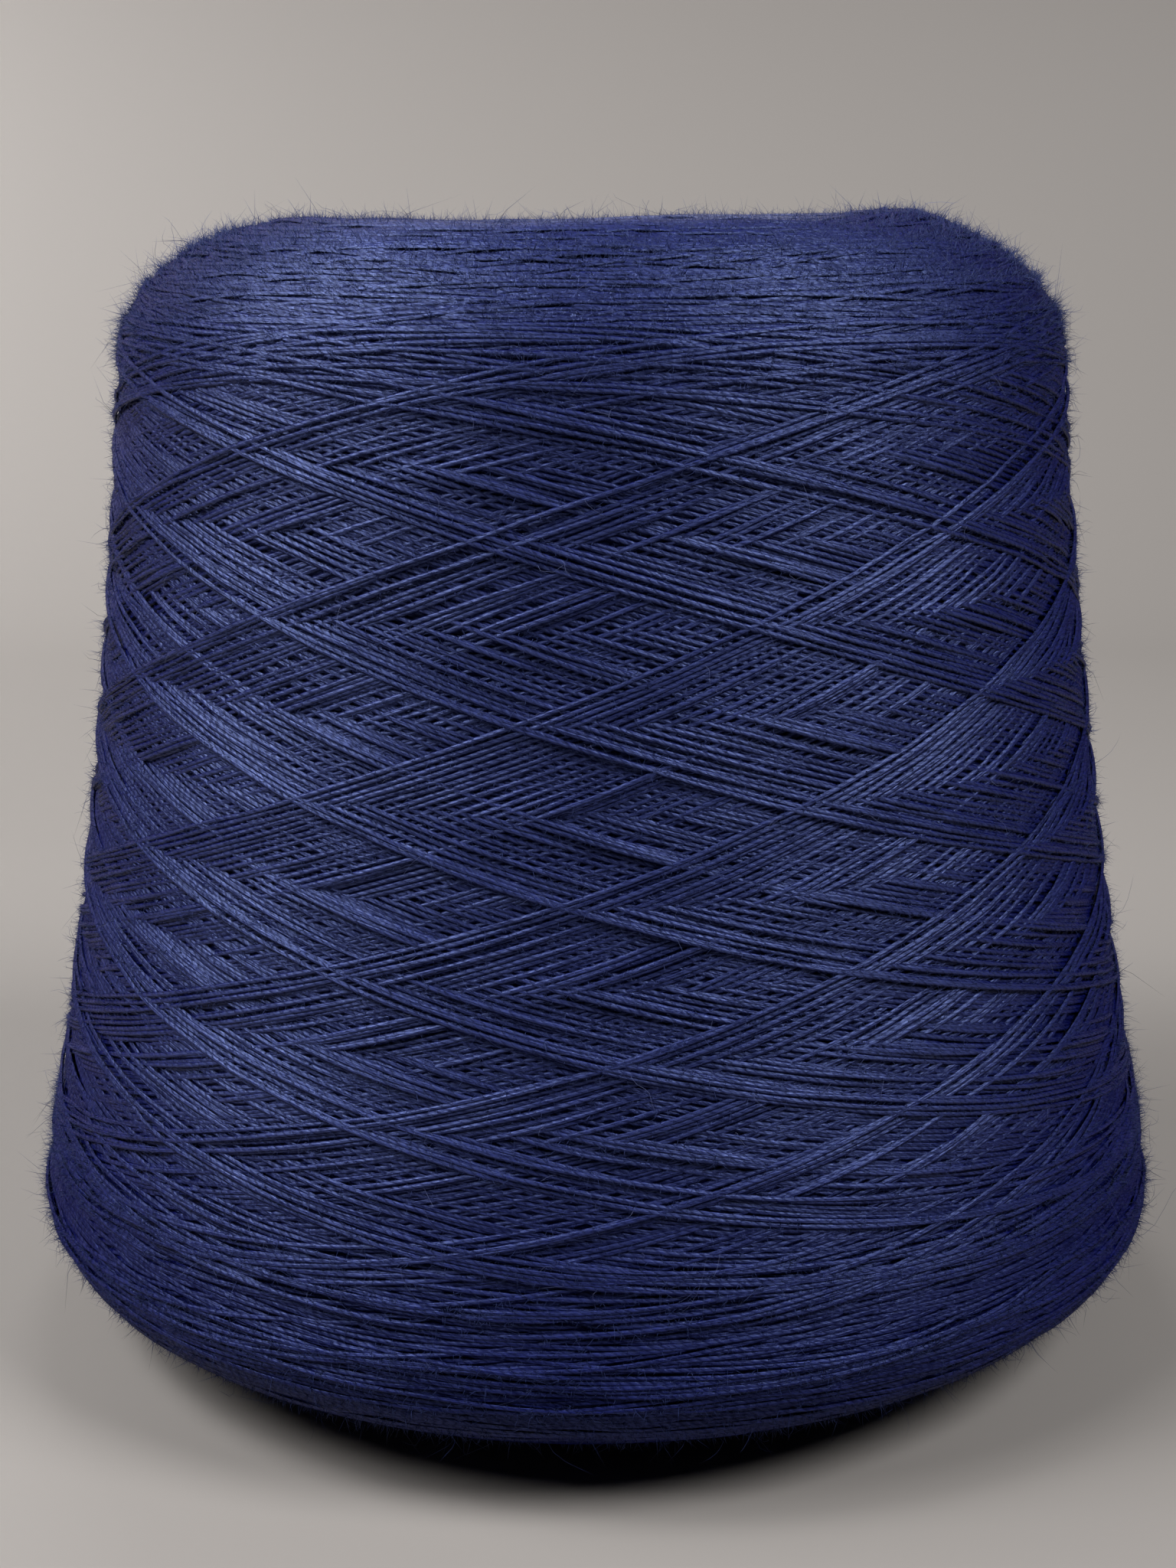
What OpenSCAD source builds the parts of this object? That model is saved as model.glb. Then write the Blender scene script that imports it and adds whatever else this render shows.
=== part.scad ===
// A cone of knitting yarn: a tapered paper cone and the yarn cross-wound on it.
// Millimetres, +Z up. The origin is on the axis, at the level of the paper cone's base rim.

/* [Paper cone] */
// Length of the paper cone along its axis
cone_length = 170; // [140:1:230]
// Outside diameter at the base rim
cone_base_d = 67; // [62:0.5:75]
// Taper, as half of the cone's full angle
cone_half_angle = 5.95; // [4.2:0.05:6.8]
// Thickness of the paper wall
cone_wall = 2.2; // [1.6:0.1:3]
// Straight depth of the lip that is rolled into the nose
nose_lip = 8; // [5:0.5:14]
// Width of the bevels on the edges of the base rim
rim_bevel = 0.4; // [0.2:0.1:0.6]

/* [Yarn package] */
// Largest diameter of the wound yarn, near its base
package_d = 180; // [150:1:230]
// Height of the largest diameter above the lowest yarn
low_shoulder_h = 12.5; // [8:0.5:20]
// Width of the rounding between the largest diameter and the lowest yarn
low_shoulder_w = 25; // [15:0.5:35]
// Diameter of the wound yarn where its side meets the upper rounding
top_d = 143; // [120:1:160]
// Height of the upper rounding, from the side to the crest
top_shoulder_h = 18; // [12:0.5:26]
// Width of the upper rounding, from the side to the crest
top_shoulder_w = 26; // [18:0.5:34]
// Depth by which the side is drawn in halfway up
side_bow = 2.2; // [0:0.1:4]
// Length of bare paper cone below the yarn
base_bare = 12; // [10:0.5:24]
// Depth by which the lower face hangs below its edge at the cone
low_sag = 4.5; // [1:0.5:8]
// Length of bare nose above the yarn
nose_bare = 4; // [3:0.5:16]
// Height of the crest above the yarn's edge at the nose
crest_rise = 7; // [2:0.5:12]

/* [Outer winding] */
// Diameter of the yarn
yarn_d = 0.8; // [0.5:0.05:1.2]
// Double traverses in the outer winding, each up the package and down again
double_traverses = 11; // [4:1:11]
// Share of a traverse over which the yarn slows down to turn
turn_share = 0.16; // [0.1:0.01:0.3]
// Distance along the surface from the lowest yarn to the lower turns
low_turn_in = 12; // [9:0.5:18]
// Distance along the surface from the crest to the upper turns
top_turn_in = 14; // [10:0.5:22]
// Clear gap where one strand passes over another
cross_gap = 0.5; // [0.46:0.01:0.8]
// Clear gap between the inner strands and the package, at the middle of a facet
lay_gap = 0.15; // [0.05:0.01:0.3]

/* [Hidden] */
$fn = 96;

// Paper cone
taper = tan(cone_half_angle);
base_r = cone_base_d / 2;
nose_r = cone_wall;                                   // roundness of the rolled nose
nose_z = cone_length - nose_r;                        // level of the nose roll's centre
wall_across = cone_wall / cos(cone_half_angle);       // wall measured square to the axis
roll_r = cone_r(nose_z) - nose_r / cos(cone_half_angle);  // radius of the ring that the nose rolls round
lip_r = roll_r - nose_r;                              // bore that the peg passes
lip_z = nose_z - nose_lip;
// Where the taper runs into the nose roll without a corner
tangent_point = [roll_r + nose_r * cos(cone_half_angle), nose_z + nose_r * sin(cone_half_angle)];

// Yarn package
low_edge_z = base_bare;
low_z = low_edge_z - low_sag;
wide_z = low_z + low_shoulder_h;
top_edge_z = cone_length - nose_bare;
crest_z = top_edge_z + crest_rise;
top_z = crest_z - top_shoulder_h;
wide_r = package_d / 2;
top_r = top_d / 2;
low_r = wide_r - low_shoulder_w;
crest_r = top_r - top_shoulder_w;
low_blend = 6;                                        // angle at which the lower rounding meets the side
top_blend = 3;                                        // angle at which the side meets the upper rounding
face_steps = 10;
shoulder_steps = 14;
side_steps = 14;

// Outer winding
RINGS_PER_TURN = 24;
TUBE_SIDES = 6;
traverse_rings = RINGS_PER_TURN + 1;                  // one ring more, so that each apex moves on
ring_angle = 360 / RINGS_PER_TURN;
last_ring = 2 * traverse_rings * double_traverses;
yarn_r = yarn_d / 2;
chord_sag = (wide_r + yarn_d) * (1 - cos(ring_angle / 2));
end_bend_r = 0.65 * yarn_d;                           // bend between a square end and its turn
end_bend_steps = 4;
inner_lay = max(yarn_r + chord_sag + lay_gap, yarn_d + end_bend_r);
outer_lay = inner_lay + yarn_d + cross_gap;
middle_lay = (inner_lay + outer_lay) / 2;

// Outside radius of the paper cone at a level
function cone_r(z) = base_r - z * taper;

// Points on an ellipse round c with half-axes a and b, from angle u0 to u1
function ellipse(c, a, b, u0, u1, steps) = [
    for (i = [0 : steps])
        let (u = u0 + (u1 - u0) * i / steps)
        [c.x + a * cos(u), c.y + b * sin(u)]
];

// Points from p to q along a straight line that is drawn in by a parabola of depth bow
function bowed_line(p, q, bow, steps) = [
    for (i = [1 : steps - 1])
        let (k = i / steps)
        p + (q - p) * k - [4 * bow * k * (1 - k), 0]
];

// Points from p to q along half a wave, level at both ends
function half_wave(p, q, steps) = [
    for (i = [0 : steps])
        let (k = i / steps)
        [p.x + (q.x - p.x) * k, p.y + (q.y - p.y) * (1 - cos(180 * k)) / 2]
];

// The wound surface in section, from the lowest yarn round the side and up to the crest
low_shoulder = ellipse([low_r, wide_z], low_shoulder_w, low_shoulder_h, -90, low_blend, shoulder_steps);
top_shoulder = ellipse([crest_r, top_z], top_shoulder_w, top_shoulder_h, top_blend, 90, shoulder_steps);
side_line = bowed_line(low_shoulder[shoulder_steps], top_shoulder[0], side_bow, side_steps);
outline = concat(low_shoulder, side_line, top_shoulder);

// The two end faces, from the paper cone to the outline and back
low_edge = [cone_r(low_edge_z), low_edge_z];
top_edge = [cone_r(top_edge_z), top_edge_z];
low_face = half_wave(low_edge, outline[0], face_steps);
top_face = half_wave(outline[len(outline) - 1], top_edge, face_steps);

// Distance along the outline at each of its points
function running_length(points, i) =
    i == 0 ? 0 : running_length(points, i - 1) + norm(points[i] - points[i - 1]);
outline_s = [for (i = [0 : len(outline) - 1]) running_length(outline, i)];
turn_low_s = low_turn_in;
turn_top_s = outline_s[len(outline) - 1] - top_turn_in;

r_table = [for (i = [0 : len(outline) - 1]) [outline_s[i], outline[i].x]];
z_table = [for (i = [0 : len(outline) - 1]) [outline_s[i], outline[i].y]];
slope_step = 1.5;                                     // length over which the surface's slope is read

// A point of the section at distance s along the outline, and the outward normal there
function section_point(s) = [lookup(s, r_table), lookup(s, z_table)];
function section_normal(s) =
    let (along = section_point(s + slope_step) - section_point(s - slope_step))
    [along.y, -along.x] / norm(along);

// A section point or direction turned to an azimuth
function turned(p, azimuth) = [p.x * cos(azimuth), p.x * sin(azimuth), p.y];
function unit(v) = v / norm(v);
function clamped(x) = min(max(x, 0), 1);

// Share of the way from the lower to the upper turn, with the turns rounded by parabolas
function rounded(x) = x < turn_share ? (x * x / turn_share + turn_share) / 2 : x;
function climb(k) =
    let (x = min(k, 2 * traverse_rings - k) / traverse_rings,
         y = x < 0.5 ? rounded(x) : 1 - rounded(1 - x))
    (y - turn_share / 2) / (1 - turn_share);

// Ring i of the winding: its place along the outline, its azimuth and its height over the package
function ring_s(i) = turn_low_s + (turn_top_s - turn_low_s) * climb(i % (2 * traverse_rings));
function ring_azimuth(i) = i * ring_angle;
function ring_lay(i) =
    let (k = i % (2 * traverse_rings))
    k % traverse_rings == 0 ? middle_lay : k < traverse_rings ? inner_lay : outer_lay;
function surface_point(i, lay) =
    let (s = ring_s(i)) turned(section_point(s) + section_normal(s) * lay, ring_azimuth(i));
function surface_normal(i) = turned(section_normal(ring_s(i)), ring_azimuth(i));

// A square end: straight out of the package for one diameter, then round into the turn.
// way is 1 at the start and -1 at the finish. Each station is a centre, a direction and a side.
function end_stations(i, way) =
    let (foot = surface_point(i, 0), out = surface_normal(i),
         along = way * [-sin(ring_azimuth(i)), cos(ring_azimuth(i)), 0],
         side = way * unit(cross(along, out)))
    concat(
        [[foot, way * out, side]],
        [for (j = [0 : end_bend_steps])
            let (u = 90 * j / end_bend_steps)
            [foot + out * (yarn_d + end_bend_r * sin(u)) + along * end_bend_r * (1 - cos(u)),
             way * (out * cos(u) + along * sin(u)), side]]
    );
function reversed(list) = [for (i = [len(list) - 1 : -1 : 0]) list[i]];

start_stations = end_stations(0, 1);
finish_stations = reversed(end_stations(last_ring, -1));
ring_stations = [
    for (i = [1 : last_ring - 1])
        let (here = surface_point(i, ring_lay(i)),
             before = surface_point(i - 1, ring_lay(i - 1)),
             after = surface_point(i + 1, ring_lay(i + 1)),
             heading = unit(unit(here - before) + unit(after - here)))
        [here, heading, unit(cross(heading, surface_normal(i)))]
];
stations = concat(start_stations, ring_stations, finish_stations);

// Least distance between the segments p-p2 and q-q2
function segment_distance(p, p2, q, q2) =
    let (u = p2 - p, v = q2 - q, w = p - q,
         uu = u * u, vv = v * v, uv = u * v, uw = u * w, vw = v * w,
         spread = uu * vv - uv * uv,
         a0 = spread > 0.001 ? clamped((uv * vw - uw * vv) / spread) : 0,
         b = clamped((uv * a0 + vw) / vv),
         a = clamped((uv * b - uw) / uu))
    norm(p + u * a - q - v * b);

// Least gap between a strand and any other that crosses the same or the next stretch of azimuth
ring_centres = [for (i = [0 : last_ring]) surface_point(i, ring_lay(i))];
least_gap = min([
    for (i = [0 : last_ring - 1], shift = [0, 1])
        for (j = [i + RINGS_PER_TURN - shift : RINGS_PER_TURN : last_ring - 1])
            segment_distance(ring_centres[i], ring_centres[i + 1], ring_centres[j], ring_centres[j + 1])
]) - yarn_d;
echo(winding_least_gap_to_itself = least_gap);  // yarn_winding

// One unbroken tube through the stations, closed at both ends
module tube(stations, radius, sides) {
    rings = len(stations);
    points = [
        for (st = stations)
            let (lift = cross(st[2], st[1]))
            for (j = [0 : sides - 1])
                st[0] + radius * (st[2] * cos(360 * j / sides) + lift * sin(360 * j / sides))
    ];
    walls = [
        for (i = [0 : rings - 2], j = [0 : sides - 1])
            let (a = i * sides + j, b = i * sides + (j + 1) % sides)
            for (face = [[a, b, b + sides], [a, b + sides, a + sides]]) face
    ];
    first_cap = [for (j = [1 : sides - 2]) [0, j + 1, j]];
    last = (rings - 1) * sides;
    last_cap = [for (j = [1 : sides - 2]) [last, last + j, last + j + 1]];
    polyhedron(points = points, faces = concat(walls, first_cap, last_cap), convexity = 10);
}

// Wound paper cone, with its nose rolled in to a short lip and its base rim bevelled
module paper_cone() {
    color([0.70, 0.62, 0.50])
    rotate_extrude()
    union() {
        polygon([
            [base_r - rim_bevel, 0],
            [cone_r(rim_bevel), rim_bevel],
            tangent_point,
            [roll_r, nose_z],
            [cone_r(rim_bevel) - wall_across, rim_bevel],
            [base_r - wall_across + rim_bevel, 0]
        ]);
        translate([roll_r, nose_z]) circle(r = nose_r);
        translate([lip_r, lip_z]) square([cone_wall, nose_lip]);
    }
}

// The yarn under the outer winding, one solid round the paper cone
module yarn_package() {
    color([0.10, 0.12, 0.27])
    rotate_extrude()
    polygon(concat(
        [for (i = [0 : face_steps - 1]) low_face[i]],
        outline,
        [for (i = [1 : face_steps]) top_face[i]]
    ));
}

// The outer winding: one strand that runs up and down over the package and both its shoulders
module yarn_winding() {
    color([0.16, 0.19, 0.40]) tube(stations, yarn_r, TUBE_SIDES);
}

paper_cone();
yarn_package();
yarn_winding();
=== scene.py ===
"""A cone of navy knitting yarn: the yarn is wound strand by strand on its packed paper cone."""

import math

import bpy
import numpy as np
from bpy.props import FloatProperty, FloatVectorProperty, IntProperty, PointerProperty
from mathutils import Matrix, Vector


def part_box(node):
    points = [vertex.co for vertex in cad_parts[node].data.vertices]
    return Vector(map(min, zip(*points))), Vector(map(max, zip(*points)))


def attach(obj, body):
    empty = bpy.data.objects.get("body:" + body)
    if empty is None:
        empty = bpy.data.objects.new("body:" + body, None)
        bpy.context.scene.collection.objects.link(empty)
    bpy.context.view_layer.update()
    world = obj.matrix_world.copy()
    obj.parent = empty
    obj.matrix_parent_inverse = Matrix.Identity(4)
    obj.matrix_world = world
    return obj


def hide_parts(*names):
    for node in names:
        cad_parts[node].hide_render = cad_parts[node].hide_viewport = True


bl_info = {
    "name": "Cone of Knitting Yarn",
    "version": (1, 0, 0),
    "blender": (4, 5, 0),
    "location": "View3D > Sidebar > Yarn Cone",
    "description": "Winds a cross-wound cone of yarn on its paper cone, with its fuzz, finishes and stage",
    "category": "Add Mesh",
}

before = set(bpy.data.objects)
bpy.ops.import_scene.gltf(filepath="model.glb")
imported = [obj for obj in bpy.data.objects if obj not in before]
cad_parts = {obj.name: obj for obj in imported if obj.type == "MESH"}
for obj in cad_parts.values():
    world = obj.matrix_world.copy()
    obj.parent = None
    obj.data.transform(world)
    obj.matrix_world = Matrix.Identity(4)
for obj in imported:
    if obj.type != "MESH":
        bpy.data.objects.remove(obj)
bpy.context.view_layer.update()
CONE_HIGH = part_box("paper_cone")[1]
PACKAGE_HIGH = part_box("yarn_package")[1]
MM = 0.001
TURN = 2 * math.pi


# Settings ------------------------------------------------------------------------------------


def size(name, description, default, **limits):
    """A length in metres, shown in the scene's unit."""
    return FloatProperty(
        name=name, description=description, default=default, unit="LENGTH", precision=5, **limits
    )


def share(name, description, default, low=0.0, high=1.0):
    """A plain factor."""
    return FloatProperty(name=name, description=description, default=default, min=low, max=high)


def angle(name, description, degrees):
    """An angle, given here in degrees."""
    return FloatProperty(name=name, description=description, default=math.radians(degrees), subtype="ANGLE")


def count(name, description, default, low=1, high=100000):
    """A whole number."""
    return IntProperty(name=name, description=description, default=default, min=low, max=high)


def colour(name, description, default):
    """A linear RGB colour."""
    return FloatVectorProperty(
        name=name, description=description, default=default, size=3, subtype="COLOR", min=0.0, max=1.0
    )


class YARNCONE_PG_package(bpy.types.PropertyGroup):
    """The outer surface of the wound yarn, in section."""

    stand_out: size("Stand out", "How far the outer strands stand over the plain package", 0.0020)
    wide_height: size("Widest level", "Height of the largest diameter", 0.0200)
    side_top_radius: size("Top of side, radius", "Radius where the side meets the upper rounding", 0.0734)
    side_top_height: size("Top of side, height", "Height where the side meets the upper rounding", 0.1542)
    low_width: size("Lower rounding, width", "From the widest level in to the lowest yarn", 0.0269)
    low_height: size("Lower rounding, height", "From the lowest yarn up to the widest level", 0.0147)
    top_width: size("Upper rounding, width", "From the side in to the crest", 0.0281)
    top_height: size("Upper rounding, height", "From the side up to the crest", 0.0193)
    side_bow: size("Drawn-in side", "How far the side is drawn in halfway up", 0.0022)
    low_edge: size("Lower edge", "Height at which the yarn leaves the paper cone below", 0.0115)
    top_edge: size("Upper edge", "Height at which the yarn leaves the paper cone above", 0.1660)
    softness: size("Corner softness", "Length over which the corners of the section are evened out", 0.0030)


class YARNCONE_PG_yarn(bpy.types.PropertyGroup):
    """The yarn and the way it is wound."""

    diameter: size("Diameter", "Diameter of the two-ply yarn", 0.00073)
    flatness: share("Flatness", "Height of a wound strand as a share of its width", 0.88)
    sink: share("Sink", "How far a strand presses into those under it, as a share of its diameter", 0.16)
    ply_pitch: size("Ply pitch", "Length of one full turn of the two plies", 0.0030)
    climb_foot: size("Climb at the foot", "Rise of an ascending strand along the surface, per radian", 0.0235)
    climb_nose: size("Climb at the nose", "The same near the nose", 0.0320)
    drop_foot: size("Drop at the foot", "Fall of a descending strand along the surface, per radian", 0.0215)
    drop_nose: size("Drop at the nose", "The same near the nose", 0.0275)
    turn_up: size("Turn, ascending", "How sharply ascending strands turn, per squared radian", 0.0100)
    turn_down: size("Turn, descending", "How sharply descending strands turn, per squared radian", 0.0060)
    early: count("Early traverses", "Double traverses whose turns still move out over the roundings", 130)
    late: count("Late traverses", "Double traverses of the outer layers, in bands", 240)
    ribbons: count("Ribbons", "Bands that strands gather in, round the package", 7)
    ribbon_turns: count("Ribbon turns", "Turns of the package in which each band gains a strand", 15)
    strand_step: size("Strand step", "Distance up the side between neighbouring strands in a band", 0.00082)
    face_arcs: count("End arcs", "Arcs of inner layers that show on each end face", 520)
    shoulder_arcs: count("Shoulder arcs", "Arcs of inner layers at each end, for every early traverse", 9)
    evenness: size("Evenness", "Distance over which the drum presses the layers even", 0.0030)
    relief: size("Relief", "How far strands come to lie above and below the outer surface", 0.00045)
    press_every: count("Pressed after", "Columns of yarn wound between two pressings", 12000)
    press_memory: size("Pressing depth", "Depth of new yarn that presses most unevenness out", 0.0012)
    seed: count("Seed", "Start of the random wander of the strands", 7)
    # The dark blue is the yarn between its fibres, and also the painted shade of ply grooves, strand sides
    # and undersides, deeper strands and the deep layers
    dark: colour("Dark blue", "Yarn between its fibres", (0.0002, 0.0006, 0.025))
    light: colour("Light blue", "Yarn on its fibres", (0.0016, 0.0034, 0.090))


class YARNCONE_PG_fuzz(bpy.types.PropertyGroup):
    """Loose fibres that stand out of the yarn."""

    down: count("Down", "Very short fibres that make the yarn soft", 130000, high=200000)
    short: count("Short fibres", "Short curled fibres all over the yarn", 56000)
    long: count("Long fibres", "Longer curled fibres among them", 3600)
    down_length: size("Down length", "Usual length of a very short fibre", 0.00100)
    short_length: size("Short length", "Usual length of a short fibre", 0.00135)
    long_length: size("Long length", "Usual length of a longer fibre", 0.0024)
    longest: size("Longest", "No fibre is longer than this", 0.0042)
    thickness: size("Thickness", "Thickness of a fibre at its root", 0.000050)
    stand_out: size("On high strands", "Height over which fibres grow more common on high strands", 0.0003)
    shoulder_share: share("Fuzzier shoulders", "How many more fibres the roundings have", 1.5, 0.0, 4.0)
    shoulder_length: share("Longer on shoulders", "How much longer the fibres are there", 0.5, 0.0, 2.0)
    seed: count("Seed", "Start of the random fibres", 23)
    shade: colour("Fibre blue", "Colour of the short fibres", (0.009, 0.014, 0.062))
    mid: colour("Mid blue", "Colour of the palest short fibres", (0.024, 0.034, 0.110))
    pale: colour("Pale blue", "Colour of the palest longer fibres", (0.120, 0.140, 0.280))


class YARNCONE_PG_paper(bpy.types.PropertyGroup):
    """The paper cone."""

    half_angle: angle("Half angle", "Taper of the paper cone, as half of its full angle", 5.95)
    base: colour("Board", "Colour of the wound board", (0.47, 0.36, 0.23))
    fibre: colour("Fibres", "Colour of the darker fibres in the board", (0.27, 0.19, 0.11))
    ply_height: size("Wind of the board", "Rise of the board's own seam in one turn", 0.060)


class YARNCONE_PG_stage(bpy.types.PropertyGroup):
    """Floor, lights and camera."""

    camera_x: size("Camera X", "Place of the camera across", -0.00096)
    camera_y: size("Camera Y", "Place of the camera, in front", -0.3789)
    camera_z: size("Camera Z", "Height of the camera", 0.1759)
    pitch: angle("Pitch", "How far the camera looks down", 13.82)
    roll: angle("Roll", "How far the camera leans", -0.39)
    lens: FloatProperty(name="Lens", description="Focal length in mm on a 36 mm long side", default=54.07)
    floor: colour("Floor", "Colour of the pale floor", (0.262, 0.244, 0.231))
    sweep: size("Sweep", "Distance from the axis to the foot of the curved backdrop", 0.55)


# Section of the wound surface ----------------------------------------------------------------


def evened(values, width):
    """values after a running mean with a bell-shaped window, width steps wide, with both ends kept."""
    reach = max(1, int(3 * width))
    window = np.exp(-0.5 * (np.arange(-reach, reach + 1) / width) ** 2)
    padded = np.concatenate([
        2 * values[0] - values[reach:0:-1],
        values,
        2 * values[-1] - values[-2:-reach - 2:-1],
    ])
    return np.convolve(padded, window / window.sum(), mode="valid")


def ellipse(centre, half, start, end, steps):
    """Points on an upright ellipse from one angle to another, in degrees."""
    u = np.radians(np.linspace(start, end, steps))
    return np.column_stack([centre[0] + half[0] * np.cos(u), centre[1] + half[1] * np.sin(u)])


def half_wave(start, end, steps):
    """Points along half a wave from start to end, level at both."""
    k = np.linspace(0, 1, steps)
    lift = (1 - np.cos(np.pi * k)) / 2
    return np.column_stack([start[0] + (end[0] - start[0]) * k, start[1] + (end[1] - start[1]) * lift])


EAR_AZIMUTH, EAR_WIDTH = 0.05, 0.45  # where the crest stands highest, and how far round
EAR_HEIGHT = 1.1  # and by how many millimetres
CREST_WAVES = ((0.30, 2, 0.4), (0.22, 5, 2.0), (0.12, 11, 0.0))  # millimetres, waves round and their start
CREST_SHIFT, CREST_WIDTH = 0.003, 0.009  # where along the section the crest is uneven, and how far
CURVE_POINTS, SIDE_POINTS = 60, 80  # to each face and rounding, and to the side
LOW_ANGLES, TOP_ANGLES = (-90, 6), (3, 90)  # degrees from first to last point of each rounding


class Section:
    """The wound surface in section, by the distance along it from the cone's foot to its nose, in metres."""

    STEP = 0.0005

    def __init__(self, package, paper):
        wide = PACKAGE_HIGH.x + package.stand_out
        taper = math.tan(paper.half_angle)
        low_in = wide - package.low_width
        low_z = package.wide_height - package.low_height
        crest_in = package.side_top_radius - package.top_width
        crest_z = package.side_top_height + package.top_height
        foot = (CONE_HIGH.x - package.low_edge * taper, package.low_edge)
        nose = (CONE_HIGH.x - package.top_edge * taper, package.top_edge)
        low_face = half_wave(foot, (low_in, low_z), CURVE_POINTS)
        wide_at, top_at = (low_in, package.wide_height), (crest_in, package.side_top_height)
        low_round = ellipse(wide_at, (package.low_width, package.low_height), *LOW_ANGLES, CURVE_POINTS)
        top_round = ellipse(top_at, (package.top_width, package.top_height), *TOP_ANGLES, CURVE_POINTS)
        k = np.linspace(0, 1, SIDE_POINTS)[1:-1, None]
        side = low_round[-1] + (top_round[0] - low_round[-1]) * k
        side[:, 0] -= 4 * package.side_bow * (k * (1 - k))[:, 0]
        top_face = half_wave((crest_in, crest_z), nose, CURVE_POINTS)
        line = np.vstack([low_face[:-1], low_round, side, top_round, top_face[1:]])
        along = np.concatenate([[0], np.cumsum(np.linalg.norm(np.diff(line, axis=0), axis=1))])
        self.length = along[-1]
        self.s = np.arange(0, self.length, self.STEP)
        width = package.softness / self.STEP
        self.r = evened(np.interp(self.s, along, line[:, 0]), width)
        self.z = evened(np.interp(self.s, along, line[:, 1]), width)
        slope = np.column_stack([np.gradient(self.r), np.gradient(self.z)])
        slope /= np.linalg.norm(slope, axis=1)[:, None]
        self.out_r, self.out_z = slope[:, 1], -slope[:, 0]
        marks = np.cumsum([len(low_face) - 1, len(low_round), len(side), len(top_round)])
        self.low, self.wide, self.side_top, self.crest = (
            along[marks[0]], along[marks[1] - 1], along[marks[2]], along[marks[3] - 1]
        )

    def unevenness(self, s, azimuth):
        """How far the crest stands out of round, over the distance along the section and the azimuth."""
        crown = np.exp(-((s - self.crest + CREST_SHIFT) / CREST_WIDTH) ** 2)
        waves = sum(depth * np.sin(number * azimuth + start) for depth, number, start in CREST_WAVES)
        aside = np.angle(np.exp(1j * (azimuth - EAR_AZIMUTH)))
        return MM * crown * (waves + EAR_HEIGHT * np.exp(-(aside / EAR_WIDTH) ** 2))

    def place(self, s, azimuth, lift):
        """Points over the surface, and its outward normals there."""
        lift = lift + self.unevenness(s, azimuth)
        out_r, out_z = np.interp(s, self.s, self.out_r), np.interp(s, self.s, self.out_z)
        radius = np.interp(s, self.s, self.r) + out_r * lift
        height = np.interp(s, self.s, self.z) + out_z * lift
        c, d = np.cos(azimuth), np.sin(azimuth)
        points = np.stack([radius * c, radius * d, height], axis=-1)
        normals = np.stack([out_r * c, out_r * d, out_z], axis=-1)
        return points, normals


# Winding -------------------------------------------------------------------------------------


COLUMNS = 720  # steps of azimuth in one turn
COLUMN_ANGLE = TURN / COLUMNS
ROW = 0.00015  # height of a row of the surface map
CHUNK = 240  # columns laid at once, less than a turn, so that no strand meets itself
REACH_ALONG = 4  # columns over which a taut strand spans from one support to the next
MARGIN = 0.0006  # the least distance of a strand's middle from the section's ends
POOL = 4  # rows taken together where the surface is evened out
SHOWN_PAST = 4  # columns by which a stretch runs on under what covers it
SHOWN_CELLS = 2  # cells of a column that a strand has to show in
FELTED_RELIEF = 0.45  # share of the relief that is gone on the roundings
FELTED_ABOVE, FELTED_FADE = 0.0105, 0.0090  # felt starts this far below the side's top, and over this length
FELTED_BELOW, FELTED_LOW_FADE = 0.0010, 0.0100  # the same past the widest level
FELTED_LOW = 0.85  # how felted the lower rounding is
HIGHEST_SHARE, LEVEL_SHARE = 0.6, 0.4  # of the highest support and of their mean, for a taut strand
CONTACT_SPREAD = 1.06  # width of a strand pressed on others, as a share of its diameter


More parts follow.
